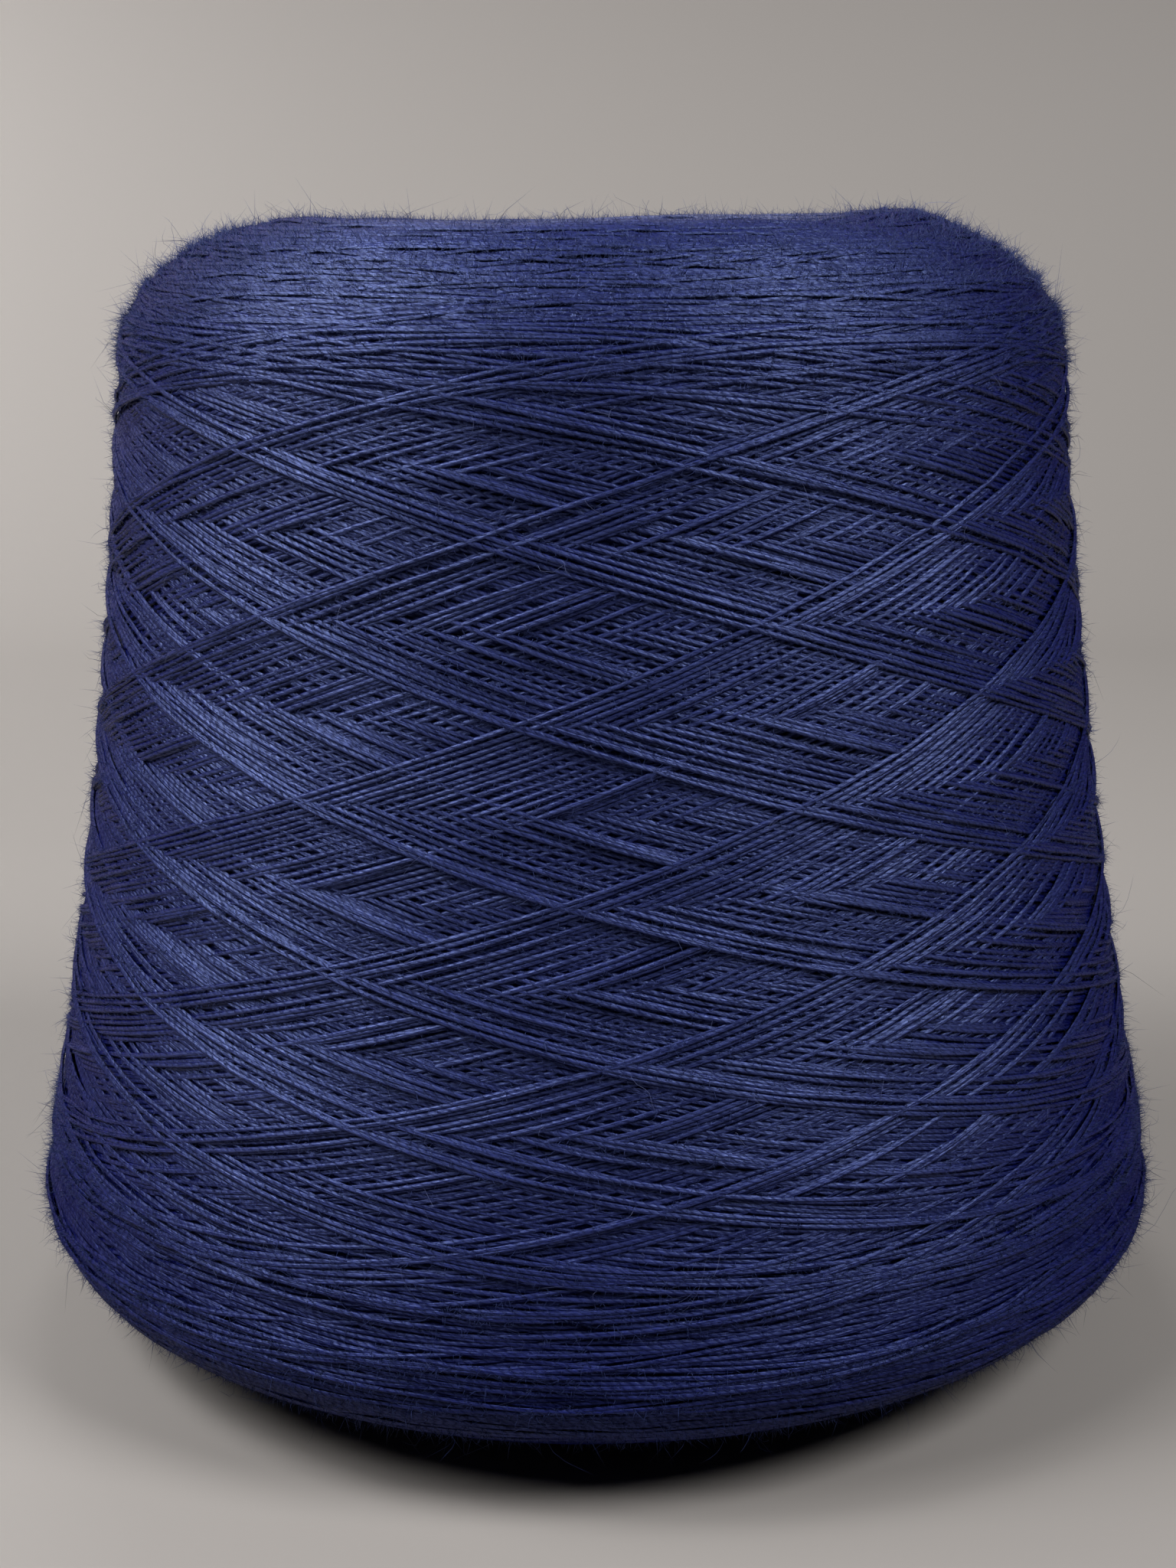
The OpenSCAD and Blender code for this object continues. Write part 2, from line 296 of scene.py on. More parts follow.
class Bed:
    """The height of the wound surface over its section, strand on strand."""

    def __init__(self, section, yarn, strands):
        self.section, self.yarn = section, yarn
        self.rows = int(section.length / ROW) + 2
        self.top = np.zeros((self.rows, COLUMNS), np.float32)
        self.owner = np.full((self.rows, COLUMNS), -1, np.int32)
        self.half_width = yarn.diameter / 2 * CONTACT_SPREAD
        self.half_height = yarn.diameter / 2 * yarn.flatness
        self.sink = yarn.diameter * yarn.sink
        self.reach = int(self.half_width / ROW) + 2
        self.starts = np.concatenate([[0], np.cumsum([len(column) for column, _ in strands])])
        self.column = np.concatenate([column for column, _ in strands])
        self.s = np.concatenate([s for _, s in strands])
        self.row = np.round(self.s / ROW).astype(np.int32)
        self.wrapped = (self.column % COLUMNS).astype(np.int32)
        self.centre = np.zeros(len(self.s), np.float32)
        self.laid = 0
        self.pressed = np.zeros_like(self.top)

    def footprint(self, a, b):
        """Cells under the steps from a to b of the yarn, and its own half height over them, 0 outside it."""
        rows = self.row[a:b, None] + np.arange(-self.reach, self.reach + 1)
        aside = (rows * ROW - self.s[a:b, None]) / self.half_width
        half = self.half_height * np.sqrt(np.clip(1 - aside ** 2, 0, None))
        cols = np.broadcast_to(self.wrapped[a:b, None], rows.shape)
        return np.clip(rows, 0, self.rows - 1), cols, half

    def lay(self, number):
        """Lays a strand on what is there."""
        low, high = self.starts[number], self.starts[number + 1]
        for start in range(low, high, CHUNK):
            end = min(start + CHUNK, high)
            a, b = max(low, start - 2 * REACH_ALONG), min(high, end + 2 * REACH_ALONG)
            rows, cols, half = self.footprint(a, b)
            held = np.where(half > 0, self.top[rows, cols] + half, -1).max(axis=1)
            held = (spanned(held, REACH_ALONG) - self.sink)[start - a:end - a]
            self.centre[start:end] = held
            cut = slice(start - a, end - a)
            rows, cols, half = rows[cut], cols[cut], half[cut]
            cap, old = held[:, None] + half, self.top[rows, cols]
            over = (half > 0) & (cap > old)
            self.top[rows, cols] = np.where(over, cap, old)
            self.owner[rows, cols] = np.where(over, number, self.owner[rows, cols])
        self.laid = high

    def press(self, memory, width):
        """Presses what is laid towards the evened surface, the more yarn has come on top, the harder."""
        even = self.evened_top(width)
        keep = np.exp(np.minimum(self.pressed - even, 0) / memory)
        self.pressed = even
        even = even * (1 - keep)
        self.top = self.top * keep + even
        row, wrapped = self.row[:self.laid], self.wrapped[:self.laid]
        self.centre[:self.laid] = self.centre[:self.laid] * keep[row, wrapped] + even[row, wrapped]

    def evened_top(self, width):
        """The surface of the layers, evened out over that width both ways."""
        coarse = self.top[:self.rows // POOL * POOL].reshape(-1, POOL, COLUMNS).mean(axis=1)
        margin = int(3 * width / ROW / POOL)
        tall = np.concatenate([
            2 * coarse[:1] - coarse[margin:0:-1], coarse, 2 * coarse[-1:] - coarse[-2:-margin - 2:-1]
        ])
        k = np.fft.fftfreq(len(tall), ROW * POOL)[:, None]
        m = np.fft.rfftfreq(COLUMNS, COLUMN_ANGLE * self.section.r.max())[None]
        soft = np.exp(-2 * (math.pi * width) ** 2 * (k ** 2 + m ** 2))
        even = np.fft.irfft2(np.fft.rfft2(tall) * soft, s=tall.shape)[margin:margin + len(coarse)]
        at = np.clip((np.arange(self.rows) - (POOL - 1) / 2) / POOL, 0, len(coarse) - 1.001)
        low = at.astype(int)
        part = (at - low)[:, None]
        return (even[low] * (1 - part) + even[low + 1] * part).astype(np.float32)

    def finish(self, width, limit, section):
        """Measures all heights from the package's outer surface, with no strand far above or below it."""
        even = self.evened_top(width)
        felted = np.interp(np.arange(self.rows) * ROW, section.s, felted_share(section))
        limit = (limit * (1 - FELTED_RELIEF * felted)).astype(np.float32)
        self.top = softly_held(self.top - even, limit[:, None])
        self.centre = softly_held(self.centre - even[self.row, self.wrapped], limit[self.row])

    def shown(self, number):
        """First and last step of each stretch of a strand that can be seen between or on the others."""
        a, b = self.starts[number], self.starts[number + 1]
        rows, cols, half = self.footprint(a, b)
        seen = ((self.owner[rows, cols] == number) & (half > 0)).sum(axis=1) >= SHOWN_CELLS
        pad = np.pad(seen, SHOWN_PAST)
        seen = np.lib.stride_tricks.sliding_window_view(pad, 2 * SHOWN_PAST + 1).any(axis=1)
        edges = np.flatnonzero(np.diff(np.concatenate([[False], seen, [False]])))
        return [(a + i, a + j) for i, j in zip(edges[::2], edges[1::2])]


def felted_share(section):
    """How far the yarn is one felt along the section, from 0 on the sides to 1 on the roundings."""
    top = np.clip((section.s - section.side_top + FELTED_ABOVE) / FELTED_FADE, 0, 1)
    low = np.clip((section.wide + FELTED_BELOW - section.s) / FELTED_LOW_FADE, 0, 1)
    share = np.maximum(top, FELTED_LOW * low)
    return share * share * (3 - 2 * share)


def softly_held(height, limit):
    """Heights drawn in towards 0, the further out, the more, without a change of their order."""
    return (limit * np.tanh(height / limit)).astype(np.float32)


def spanned(held, reach):
    """The line of a taut strand over its supports: the highest support near, evened out."""
    padded = np.pad(held, 2 * reach, mode="edge")
    windows = np.lib.stride_tricks.sliding_window_view(padded, 2 * reach + 1)
    highest = HIGHEST_SHARE * windows.max(axis=1) + LEVEL_SHARE * windows.mean(axis=1)
    weight = np.hanning(2 * reach + 3)[1:-1]
    return np.convolve(highest, weight / weight.sum(), mode="valid")


def wander(rng, steps, width, depth):
    """A smooth random line with that depth, changing over about width steps."""
    knots = rng.normal(0, depth, steps // width + 4)
    return np.interp(np.arange(steps) / width, np.arange(len(knots)), knots)


STRAY_NEAR_TURN = 5  # how fast a strand comes back into line past a turn that strayed
STRAY_DEPTH = 0.16  # how far a strand wanders, as a share of its diameter
STRAY_SHORT, STRAY_LONG, STRAY_EVEN = 14, 50, 4  # and over how many columns
NOSE_TURN, FOOT_TURN = 0.0030, 0.0105  # where traverses turn, past the side's top and the widest level
TURNS_OUT = 0.004  # past the crest and the lowest yarn, where the first traverses turn
TOP_SCATTER, LOW_SCATTER = 0.0022, 0.0020  # by which their turns miss that place
ARC_REACH = (1.1, 1.5)  # radians of an end arc to each side of its apex
ARC_SCATTER = 0.001  # by which an end arc misses its place
END_GAP = 0.001  # between the section's ends and the first strands
RISE_STEPS = 800  # to work out one traverse in
FOOT_SLOPE_TO, NOSE_SLOPE_FROM = 0.025, 0.040  # distances from the turns between which the climb changes
DRIFT_WIDTH, DRIFT_DEPTH, DRIFT_EVEN = 22, 0.3, 5  # slow change of the distance between a band's strands
DRIFT_SCATTER = 0.9  # its change from strand to strand


class Winder:
    """Works out where every strand runs, in the order in which they are wound."""

    def __init__(self, section, yarn):
        self.section, self.yarn = section, yarn
        self.rng = np.random.default_rng(yarn.seed)
        self.strands = []  # (columns, distances along the section) of each
        self.nose_turn, self.foot_turn = section.side_top + NOSE_TURN, section.wide + FOOT_TURN
        self.up = self.leg(yarn.climb_foot, yarn.climb_nose, yarn.turn_up)
        self.down = self.leg(yarn.drop_foot, yarn.drop_nose, yarn.turn_down)

    def leg(self, slope_foot, slope_nose, turn):
        """How a traverse rises: azimuths from 0, and shares of the way from foot turn to nose turn."""
        low, high = self.foot_turn, self.nose_turn
        rise = (1 - np.cos(np.linspace(0, math.pi, RISE_STEPS))) / 2
        s = low + (high - low) * (rise[1:] + rise[:-1]) / 2
        slope = np.interp(s, [low + FOOT_SLOPE_TO, high - NOSE_SLOPE_FROM], [slope_foot, slope_nose])
        at_foot, at_nose = 2 * np.sqrt(turn * (s - low)), 2 * np.sqrt(turn * (high - s))
        # The least of the three slopes, with a soft change from one to the next
        slope = (slope ** -4 + at_foot ** -4 + at_nose ** -4) ** -0.25
        return np.concatenate([[0], np.cumsum(np.diff(rise) * (high - low) / slope)]), rise

    def add(self, column, s):
        """Keeps a strand, with a slight wander."""
        depth = self.yarn.diameter * STRAY_DEPTH
        stray = wander(self.rng, len(s), STRAY_SHORT, depth) + wander(self.rng, len(s), STRAY_LONG, depth)
        s = s + evened(stray, STRAY_EVEN)
        self.strands.append((column, np.clip(s, MARGIN, self.section.length - MARGIN)))

    def end_arc(self, apex, way):
        """A turn of an inner layer, of which only the part near its apex will show. way is 1 at the nose."""
        yarn = self.yarn
        middle = self.rng.uniform(0, TURN)
        before, after = (yarn.turn_up, yarn.turn_down) if way > 0 else (yarn.turn_down, yarn.turn_up)
        reach = self.rng.uniform(*ARC_REACH)
        column = np.arange(int((middle - reach) / COLUMN_ANGLE), int((middle + reach) / COLUMN_ANGLE))
        away = column * COLUMN_ANGLE - middle
        self.add(column, apex - way * np.where(away < 0, before, after) * away ** 2)

    def wind(self):
        """Every strand of the package, from the cone outwards."""
        yarn, section, rng = self.yarn, self.section, self.rng
        # The turns' places move out from the paper cone as the layers grow
        nose_end, foot_end = section.length - END_GAP, END_GAP
        for k in np.linspace(0, 1, yarn.face_arcs):
            self.end_arc(nose_end + (section.crest - nose_end) * k, 1)
            self.end_arc(foot_end + (section.low - foot_end) * k, -1)
        total = yarn.early + yarn.late
        progress = np.clip(np.arange(total + 1) / yarn.early, 0, 1)
        tops = section.crest + TURNS_OUT + (self.nose_turn - section.crest - TURNS_OUT) * progress
        lows = section.low - TURNS_OUT + (self.foot_turn - section.low + TURNS_OUT) * progress
        top_off, low_off = rng.normal(0, TOP_SCATTER, total + 1), rng.normal(0, LOW_SCATTER, total + 1)
        azimuth, natural = 0.0, self.up[0][-1] + self.down[0][-1]
        banded = TURN * yarn.ribbon_turns / yarn.ribbons
        drift = self.drift(total)
        for j in range(total):
            sweep = banded - drift[j]
            if j < yarn.early:
                sweep = natural * (tops[j] - lows[j]) / (self.nose_turn - self.foot_turn)
                for _ in range(yarn.shoulder_arcs):
                    self.end_arc(tops[j] + top_off[j] + rng.normal(0, ARC_SCATTER), 1)
                    self.end_arc(lows[j] + low_off[j] + rng.normal(0, ARC_SCATTER), -1)
            first, last = math.ceil(azimuth / COLUMN_ANGLE), math.ceil((azimuth + sweep) / COLUMN_ANGLE)
            column = np.arange(first, last)
            here = (column * COLUMN_ANGLE - azimuth) * natural / sweep
            up_end = self.up[0][-1]
            rise = np.where(here < up_end, np.interp(here, *self.up), np.interp(natural - here, *self.down))
            low = np.where(here < up_end, lows[j], lows[j + 1])
            off = np.where(here < up_end, low_off[j], low_off[j + 1])
            stray = top_off[j] * rise ** STRAY_NEAR_TURN + off * (1 - rise) ** STRAY_NEAR_TURN
            self.add(column, low + (tops[j] - low) * rise + stray)
            azimuth += sweep
        return self.strands

    def drift(self, total):
        """How far short of its band's last strand each double traverse ends, in radians."""
        yarn, rng = self.yarn, self.rng
        step = yarn.strand_step / (yarn.ribbons * (yarn.climb_foot + yarn.climb_nose) / 2)
        slow = evened(wander(rng, total, DRIFT_WIDTH, DRIFT_DEPTH), DRIFT_EVEN)
        return step * (1.0 + slow + rng.normal(0, DRIFT_SCATTER, total))


def wound(package, yarn, paper):
    """The section and the laid yarn, worked out once."""
    if not wound.result:
        section = Section(package, paper)
        bed = Bed(section, yarn, Winder(section, yarn).wind())
        for number in range(len(bed.starts) - 1):
            bed.lay(number)
            if bed.laid // yarn.press_every > bed.starts[number] // yarn.press_every:
                bed.press(yarn.press_memory, yarn.evenness)
        bed.finish(yarn.evenness, yarn.relief, section)
        wound.result.update(section=section, bed=bed)
    return wound.result


wound.result = {}


# Meshes --------------------------------------------------------------------------------------


def tube_rings(centres, normals, half_width, half_height, sides):
    """Rings of points round a line, square to it, flattened along the normals."""
    heading = np.gradient(centres, axis=0)
    heading /= np.linalg.norm(heading, axis=1)[:, None]
    aside = np.cross(heading, normals)
    aside /= np.linalg.norm(aside, axis=1)[:, None]
    up = np.cross(aside, heading)
    u = np.arange(sides) * TURN / sides - math.pi / 2
    ring = aside[:, None] * (half_width[:, None] * np.cos(u))[..., None]
    ring += up[:, None] * (half_height[:, None] * np.sin(u))[..., None]
    return centres[:, None] + ring


def tube_faces(rings, sides, first):
    """Quads of a tube and its two end caps, as lists of corner numbers from first on."""
    a = first + np.arange(rings - 1)[:, None] * sides + np.arange(sides)
    b = first + np.arange(rings - 1)[:, None] * sides + (np.arange(sides) + 1) % sides
    quads = np.stack([a, a + sides, b + sides, b], axis=-1).reshape(-1, 4)
    last = first + (rings - 1) * sides
    caps = np.array([np.arange(sides) + first, np.arange(sides)[::-1] + last])
    return quads, caps


def mesh_object(name, points, quads, caps, along=None, **values):
    """A mesh of quads and caps, smooth, with named values for each point and, on yarn, a UV map along it."""
    mesh = bpy.data.meshes.new(name)
    sides = caps.shape[1]
    corners = np.concatenate([quads.ravel(), caps.ravel()]).astype(np.int32)
    starts = np.concatenate([np.arange(len(quads)) * 4, len(quads) * 4 + np.arange(len(caps)) * sides])
    mesh.vertices.add(len(points))
    mesh.vertices.foreach_set("co", np.ascontiguousarray(points, dtype=np.float32).ravel())
    mesh.loops.add(len(corners))
    mesh.loops.foreach_set("vertex_index", corners)
    mesh.polygons.add(len(starts))
    mesh.polygons.foreach_set("loop_start", starts.astype(np.int32))
    mesh.update(calc_edges=True)
    mesh.polygons.foreach_set("use_smooth", np.ones(len(starts), bool))
    for key, value in values.items():
        mesh.attributes.new(key, "FLOAT", "POINT").data.foreach_set("value", value.astype(np.float32))
    if along is not None:
        layer = mesh.uv_layers.new(name="along_strand")
        layer.data.foreach_set("uv", along(corners).astype(np.float32).ravel())
    mesh.validate()
    piece = bpy.data.objects.new(name, mesh)
    bpy.context.collection.objects.link(piece)
    return piece


def put_in_order(mesh):
    """Renumbers a mesh's points and faces by their place, because merging leaves them in any order."""
    points = np.empty(3 * len(mesh.vertices), np.float32)
    mesh.vertices.foreach_get("co", points)
    points = points.reshape(-1, 3)
    order = np.lexsort(points.T)
    number = np.argsort(order)
    faces = []
    for face in mesh.polygons:
        corners = number[list(face.vertices)].tolist()
        first = corners.index(min(corners))
        faces.append(corners[first:] + corners[:first])
    mesh.clear_geometry()
    mesh.from_pydata(points[order].tolist(), [], sorted(faces))


FLOOR_GAP = 0.0004  # fibres stay this far above the floor
SIDES = 4  # of a strand
RING_STEP = 0.0034  # from one ring of a strand to the next
END_DIVE = 0.0004  # a stretch of strand ends this far under what covers it
END_WIDTH = 0.5  # and that much thinner
TONE_WIDTH, TONE_DEPTH = 90, 0.5  # change of a strand's tone along it
TONE_SCATTER = 0.45  # and from strand to strand
GIRTH_WIDTH, GIRTH_DEPTH, GIRTH_EVEN = 9, 0.07, 2  # change of its thickness
TWIST_START = 0.2  # metres by which strands differ in where their plies start
PIECE_TRIANGLES = 180000
BED_DEPTH = 0.0007  # from the outer surface in to the closed body under the strands
FELT_DEPTH = 0.00016  # the same on the roundings, where felted yarn fills the gaps
# Kinds of fibre: name, setting of their number, setting of their length, joints, and thickness as a share
FIBRE_KINDS = (
    ("down", "down", "down_length", 2, 2.2),
    ("short_fibres", "short", "short_length", 3, 1.3),
    ("long_fibres", "long", "long_length", 7, 1.0),
)
FIBRE_ROOT = 0.00015  # depth of a fibre's root under the strand's top
FIBRE_RISE = (2.0, 0.85)  # shape and scale of how steeply fibres stand
FIBRE_SCATTER = 0.42  # of their lengths
TOP_FUZZ, LOW_FUZZ = (0.012, 0.018), (0.0, 0.014)  # middle past the rounding's start, and width, of more fuzz
LOW_FUZZ_SHARE = 0.6  # of it on the lower rounding
CURL_ASIDE = 2.0  # spread of how far a fibre curls aside
CURL_UP, CURL_UP_SPREAD = -0.2, 0.9  # mean and spread of how far it curls off the yarn
CURL_BACK = 0.8  # the most that it curls back
LOOP_TURNS, LOOP_SIZE = (3.0, 8.0), (0.10, 0.30)  # radians of a long fibre's loops, and their size
FIBRE_TAPER = 0.4  # share of its thickness that a fibre loses towards its tip
FIBRE_GIRTHS = (0.7, 1.3)  # thinnest and thickest fibre


class Skein:
    """Gathers strands and turns them into pieces that stay under the triangle limit."""

    def __init__(self, name, material):
        self.name, self.material = name, material
        self.number = 0
        self.pieces = []
        self.clear()

    def clear(self):
        """Starts a new piece."""
        self.points, self.quads, self.caps, self.tones, self.depths, self.lengths = [], [], [], [], [], []
        self.corners = self.triangles = 0

    def add(self, rings, tones, depths, length):
        """Adds a tube, with its tone, depth and length so far at each ring."""
        count_rings, sides = rings.shape[:2]
        quads, caps = tube_faces(count_rings, sides, self.corners)
        self.points.append(rings.reshape(-1, 3))
        self.quads.append(quads)
        self.caps.append(caps)
        self.tones.append(np.repeat(tones, sides))
        self.depths.append(np.repeat(depths, sides))
        self.lengths.append(np.repeat(length, sides))
        self.corners += count_rings * sides
        self.triangles += len(quads) * 2 + (sides - 2) * 2
        if self.triangles > PIECE_TRIANGLES:
            self.close()

    def close(self):
        """Makes a piece of the tubes gathered so far."""
        if not self.points:
            return
        points, tones, depths, lengths = (
            np.concatenate(x) for x in (self.points, self.tones, self.depths, self.lengths)
        )
        quads, caps = np.concatenate(self.quads), np.concatenate(self.caps)
        sides = caps.shape[1]
        seam = quads.shape[0] * 4

        def along(corners):
            """Length along the strand, and share of the way round it, which ends at 1 and not at 0."""
            side = corners % sides
            v = side / sides
            quad_side = side[:seam].reshape(-1, 4)
            wrap = quad_side[:, :1] == sides - 1
            v[:seam] = (quad_side / sides + (wrap & (quad_side == 0))).ravel()
            return np.column_stack([lengths[corners], v])

        self.number += 1
        name = f"{self.name}_{self.number:02d}"
        piece = mesh_object(name, points, quads, caps, along, tone=tones, depth=depths)
        piece.data.materials.append(self.material)
        self.pieces.append(piece)
        self.clear()


def wind_strands(result, yarn, material):
    """Tubes along every stretch of strand that shows, as pieces."""
    rng = np.random.default_rng(yarn.seed + 1)
    section, bed = result["section"], result["bed"]
    skein = Skein("wound_yarn", material)
    for number in range(len(bed.starts) - 1):
        first = bed.starts[number]
        steps_long = bed.starts[number + 1] - first
        tone = wander(rng, steps_long, TONE_WIDTH, TONE_DEPTH) + rng.normal(0, TONE_SCATTER)
        girth = 1 + evened(wander(rng, steps_long, GIRTH_WIDTH, GIRTH_DEPTH), GIRTH_EVEN)
        for start, end in bed.shown(number):
            run = np.cumsum(np.interp(bed.s[start:end], section.s, section.r)) * COLUMN_ANGLE / RING_STEP
            wanted = np.linspace(run[0], run[-1], max(3, int(run[-1]) + 1))
            steps = start + np.unique(np.searchsorted(run, wanted))
            if len(steps) < 3:
                continue
            inner = np.ones(len(steps))
            inner[[0, -1]] = 0
            lift = bed.centre[steps] - END_DIVE * (1 - inner)
            points, normals = section.place(bed.s[steps], bed.column[steps] * COLUMN_ANGLE, lift)
            run = np.concatenate([[0], np.cumsum(np.linalg.norm(np.diff(points, axis=0), axis=1))])
            left = girth[steps - first] * (END_WIDTH + (1 - END_WIDTH) * inner)
            half_width, half_height = bed.half_width * left, bed.half_height * left
            rings = tube_rings(points, normals, half_width, half_height, SIDES)
            depths = bed.centre[steps] / yarn.relief
            skein.add(rings, tone[steps - first], depths, rng.uniform(0, TWIST_START) + run)
    skein.close()
    return skein.pieces


def bed_depth(section):
    """Depth of the closed body below the outer surface, along the section."""
    return BED_DEPTH + (FELT_DEPTH - BED_DEPTH) * felted_share(section)


def fibre_paths(result, fuzz, rng, n, usual, joints):
    """Middle lines of n loose fibres, rooted in the yarn all over it: fibres x joints x 3."""
    section, bed = result["section"], result["bed"]
    s = np.arange(bed.rows) * ROW
    shoulder = np.exp(-((s - section.side_top - TOP_FUZZ[0]) / TOP_FUZZ[1]) ** 2)
    shoulder = shoulder + LOW_FUZZ_SHARE * np.exp(-((s - section.wide - LOW_FUZZ[0]) / LOW_FUZZ[1]) ** 2)
    area = np.interp(s, section.s, section.r) * (1 + fuzz.shoulder_share * shoulder)
    row = np.searchsorted(np.cumsum(area) / area.sum(), rng.random(4 * n))
    col = rng.integers(0, COLUMNS, 4 * n)
    surface = np.maximum(bed.top, -np.interp(s, section.s, bed_depth(section))[:, None])
    rank = surface[row, col] / fuzz.stand_out + rng.gumbel(0, 1, 4 * n)
    kept = np.sort(np.argpartition(-rank, n)[:n])
    row, col = row[kept], col[kept]
    azimuth = (col + rng.random(n)) * COLUMN_ANGLE
    roots, normals = section.place((row + rng.random(n)) * ROW, azimuth, surface[row, col] - FIBRE_ROOT)
    level = np.stack([-np.sin(azimuth), np.cos(azimuth), np.zeros(n)], axis=-1)
    turn = rng.uniform(0, TURN, n)[:, None]
    flat = level * np.cos(turn) + np.cross(normals, level) * np.sin(turn)
    heading = flat + normals * rng.gamma(*FIBRE_RISE, n)[:, None]
    heading /= np.linalg.norm(heading, axis=1)[:, None]
    usual = usual * (1 + fuzz.shoulder_length * shoulder[row])
    length = np.minimum(usual * np.exp(rng.normal(0, FIBRE_SCATTER, n)), fuzz.longest)[:, None]
    k = np.linspace(0, 1, joints)[None, :, None]
    path = heading[:, None] * k
    if joints > 2:
        curl = np.cross(normals, flat) * rng.normal(0, CURL_ASIDE, (n, 1))
        curl = curl + normals * rng.normal(CURL_UP, CURL_UP_SPREAD, (n, 1))
        path = path + (curl - heading * rng.uniform(0, CURL_BACK, (n, 1)))[:, None] * k ** 2 / 2
    if joints > 3:
        aside = np.cross(heading, rng.normal(0, 1, (n, 3)))
        aside /= np.linalg.norm(aside, axis=1)[:, None]
        other = np.cross(heading, aside)
        phase = k * rng.uniform(*LOOP_TURNS, (n, 1, 1)) + rng.uniform(0, TURN, (n, 1, 1))
        loop = aside[:, None] * np.cos(phase) + other[:, None] * np.sin(phase)
        path = path + (loop - loop[:, :1]) * rng.uniform(*LOOP_SIZE, (n, 1, 1))
    path = roots[:, None] + length[:, None] * path
    path[..., 2] = np.maximum(path[..., 2], FLOOR_GAP)
    return path


def fibre_pieces(name, path, thickness, rng, material):
    """Closed three-sided tubes along the fibres, each drawn out to a point, as pieces."""
    n, joints = path.shape[:2]
    k = np.linspace(0, 1, joints)[None, :, None]
    bend = np.gradient(path, axis=1)
    bend /= np.linalg.norm(bend, axis=2, keepdims=True)
    side = np.cross(bend, rng.normal(0, 1, (n, 1, 3)))
    side /= np.linalg.norm(side, axis=2, keepdims=True)
    width = thickness / 2 * (1 - FIBRE_TAPER * k) * rng.uniform(*FIBRE_GIRTHS, (n, 1, 1))
    side, other = side * width, np.cross(bend, side) * width
    u = np.arange(3)[:, None] * TURN / 3
    rings = path[:, :-1, None] + side[:, :-1, None] * np.cos(u) + other[:, :-1, None] * np.sin(u)
    points = np.concatenate([rings.reshape(n, -1, 3), path[:, -1:]], axis=1)
    around = np.arange(3)
    after = (around + 1) % 3
    ring = np.arange(joints - 2)[:, None] * 3
    quads = [ring + around, ring + after, ring + after + 3, ring + around + 3]
    quads = np.stack(quads, axis=-1).reshape(-1, 4)
    last, tip = 3 * (joints - 2), 3 * (joints - 1)
    ends = np.vstack([[[2, 1, 0]], np.stack([last + around, last + after, np.full(3, tip)], axis=-1)])
    tones = rng.normal(0, 1, n)
    pieces, per_fibre = [], tip + 1
    per_piece = PIECE_TRIANGLES // (2 * len(quads) + len(ends))
    for number, start in enumerate(range(0, n, per_piece), 1):
        held = min(per_piece, n - start)
        first = np.arange(held)[:, None, None] * per_fibre
        piece = mesh_object(
            f"{name}_{number:02d}",
            points[start:start + held].reshape(-1, 3),
            (first + quads).reshape(-1, 4),
            (first + ends).reshape(-1, 3),
            tone=np.repeat(tones[start:start + held], per_fibre),
        )
        piece.data.materials.append(material)
        pieces.append(piece)
    return pieces


def fuzz_fibres(result, fuzz, material, pale):
    """Down all over the yarn, short curled fibres over it and longer ones among them."""
    rng = np.random.default_rng(fuzz.seed)
    pieces = []
    for name, number, usual, joints, thicker in FIBRE_KINDS:
        path = fibre_paths(result, fuzz, rng, getattr(fuzz, number), getattr(fuzz, usual), joints)
        fibre = pale if name == "long_fibres" else material
        pieces += fibre_pieces(name, path, fuzz.thickness * thicker, rng, fibre)
    return pieces


# Materials -----------------------------------------------------------------------------------


class Value:
    """An output of a shader node, to reckon with as with a number."""

    def __init__(self, nodes, socket):
        self.nodes, self.socket = nodes, socket

    def __add__(self, other):
        return self.nodes.math("ADD", self, other)

    def __sub__(self, other):
        return self.nodes.math("SUBTRACT", self, other)

    def __rsub__(self, other):
        return self.nodes.math("SUBTRACT", other, self)

    def __mul__(self, other):
        return self.nodes.math("MULTIPLY", self, other)

    def __truediv__(self, other):
        return self.nodes.math("DIVIDE", self, other)

    def __abs__(self):
        return self.nodes.math("ABSOLUTE", self)


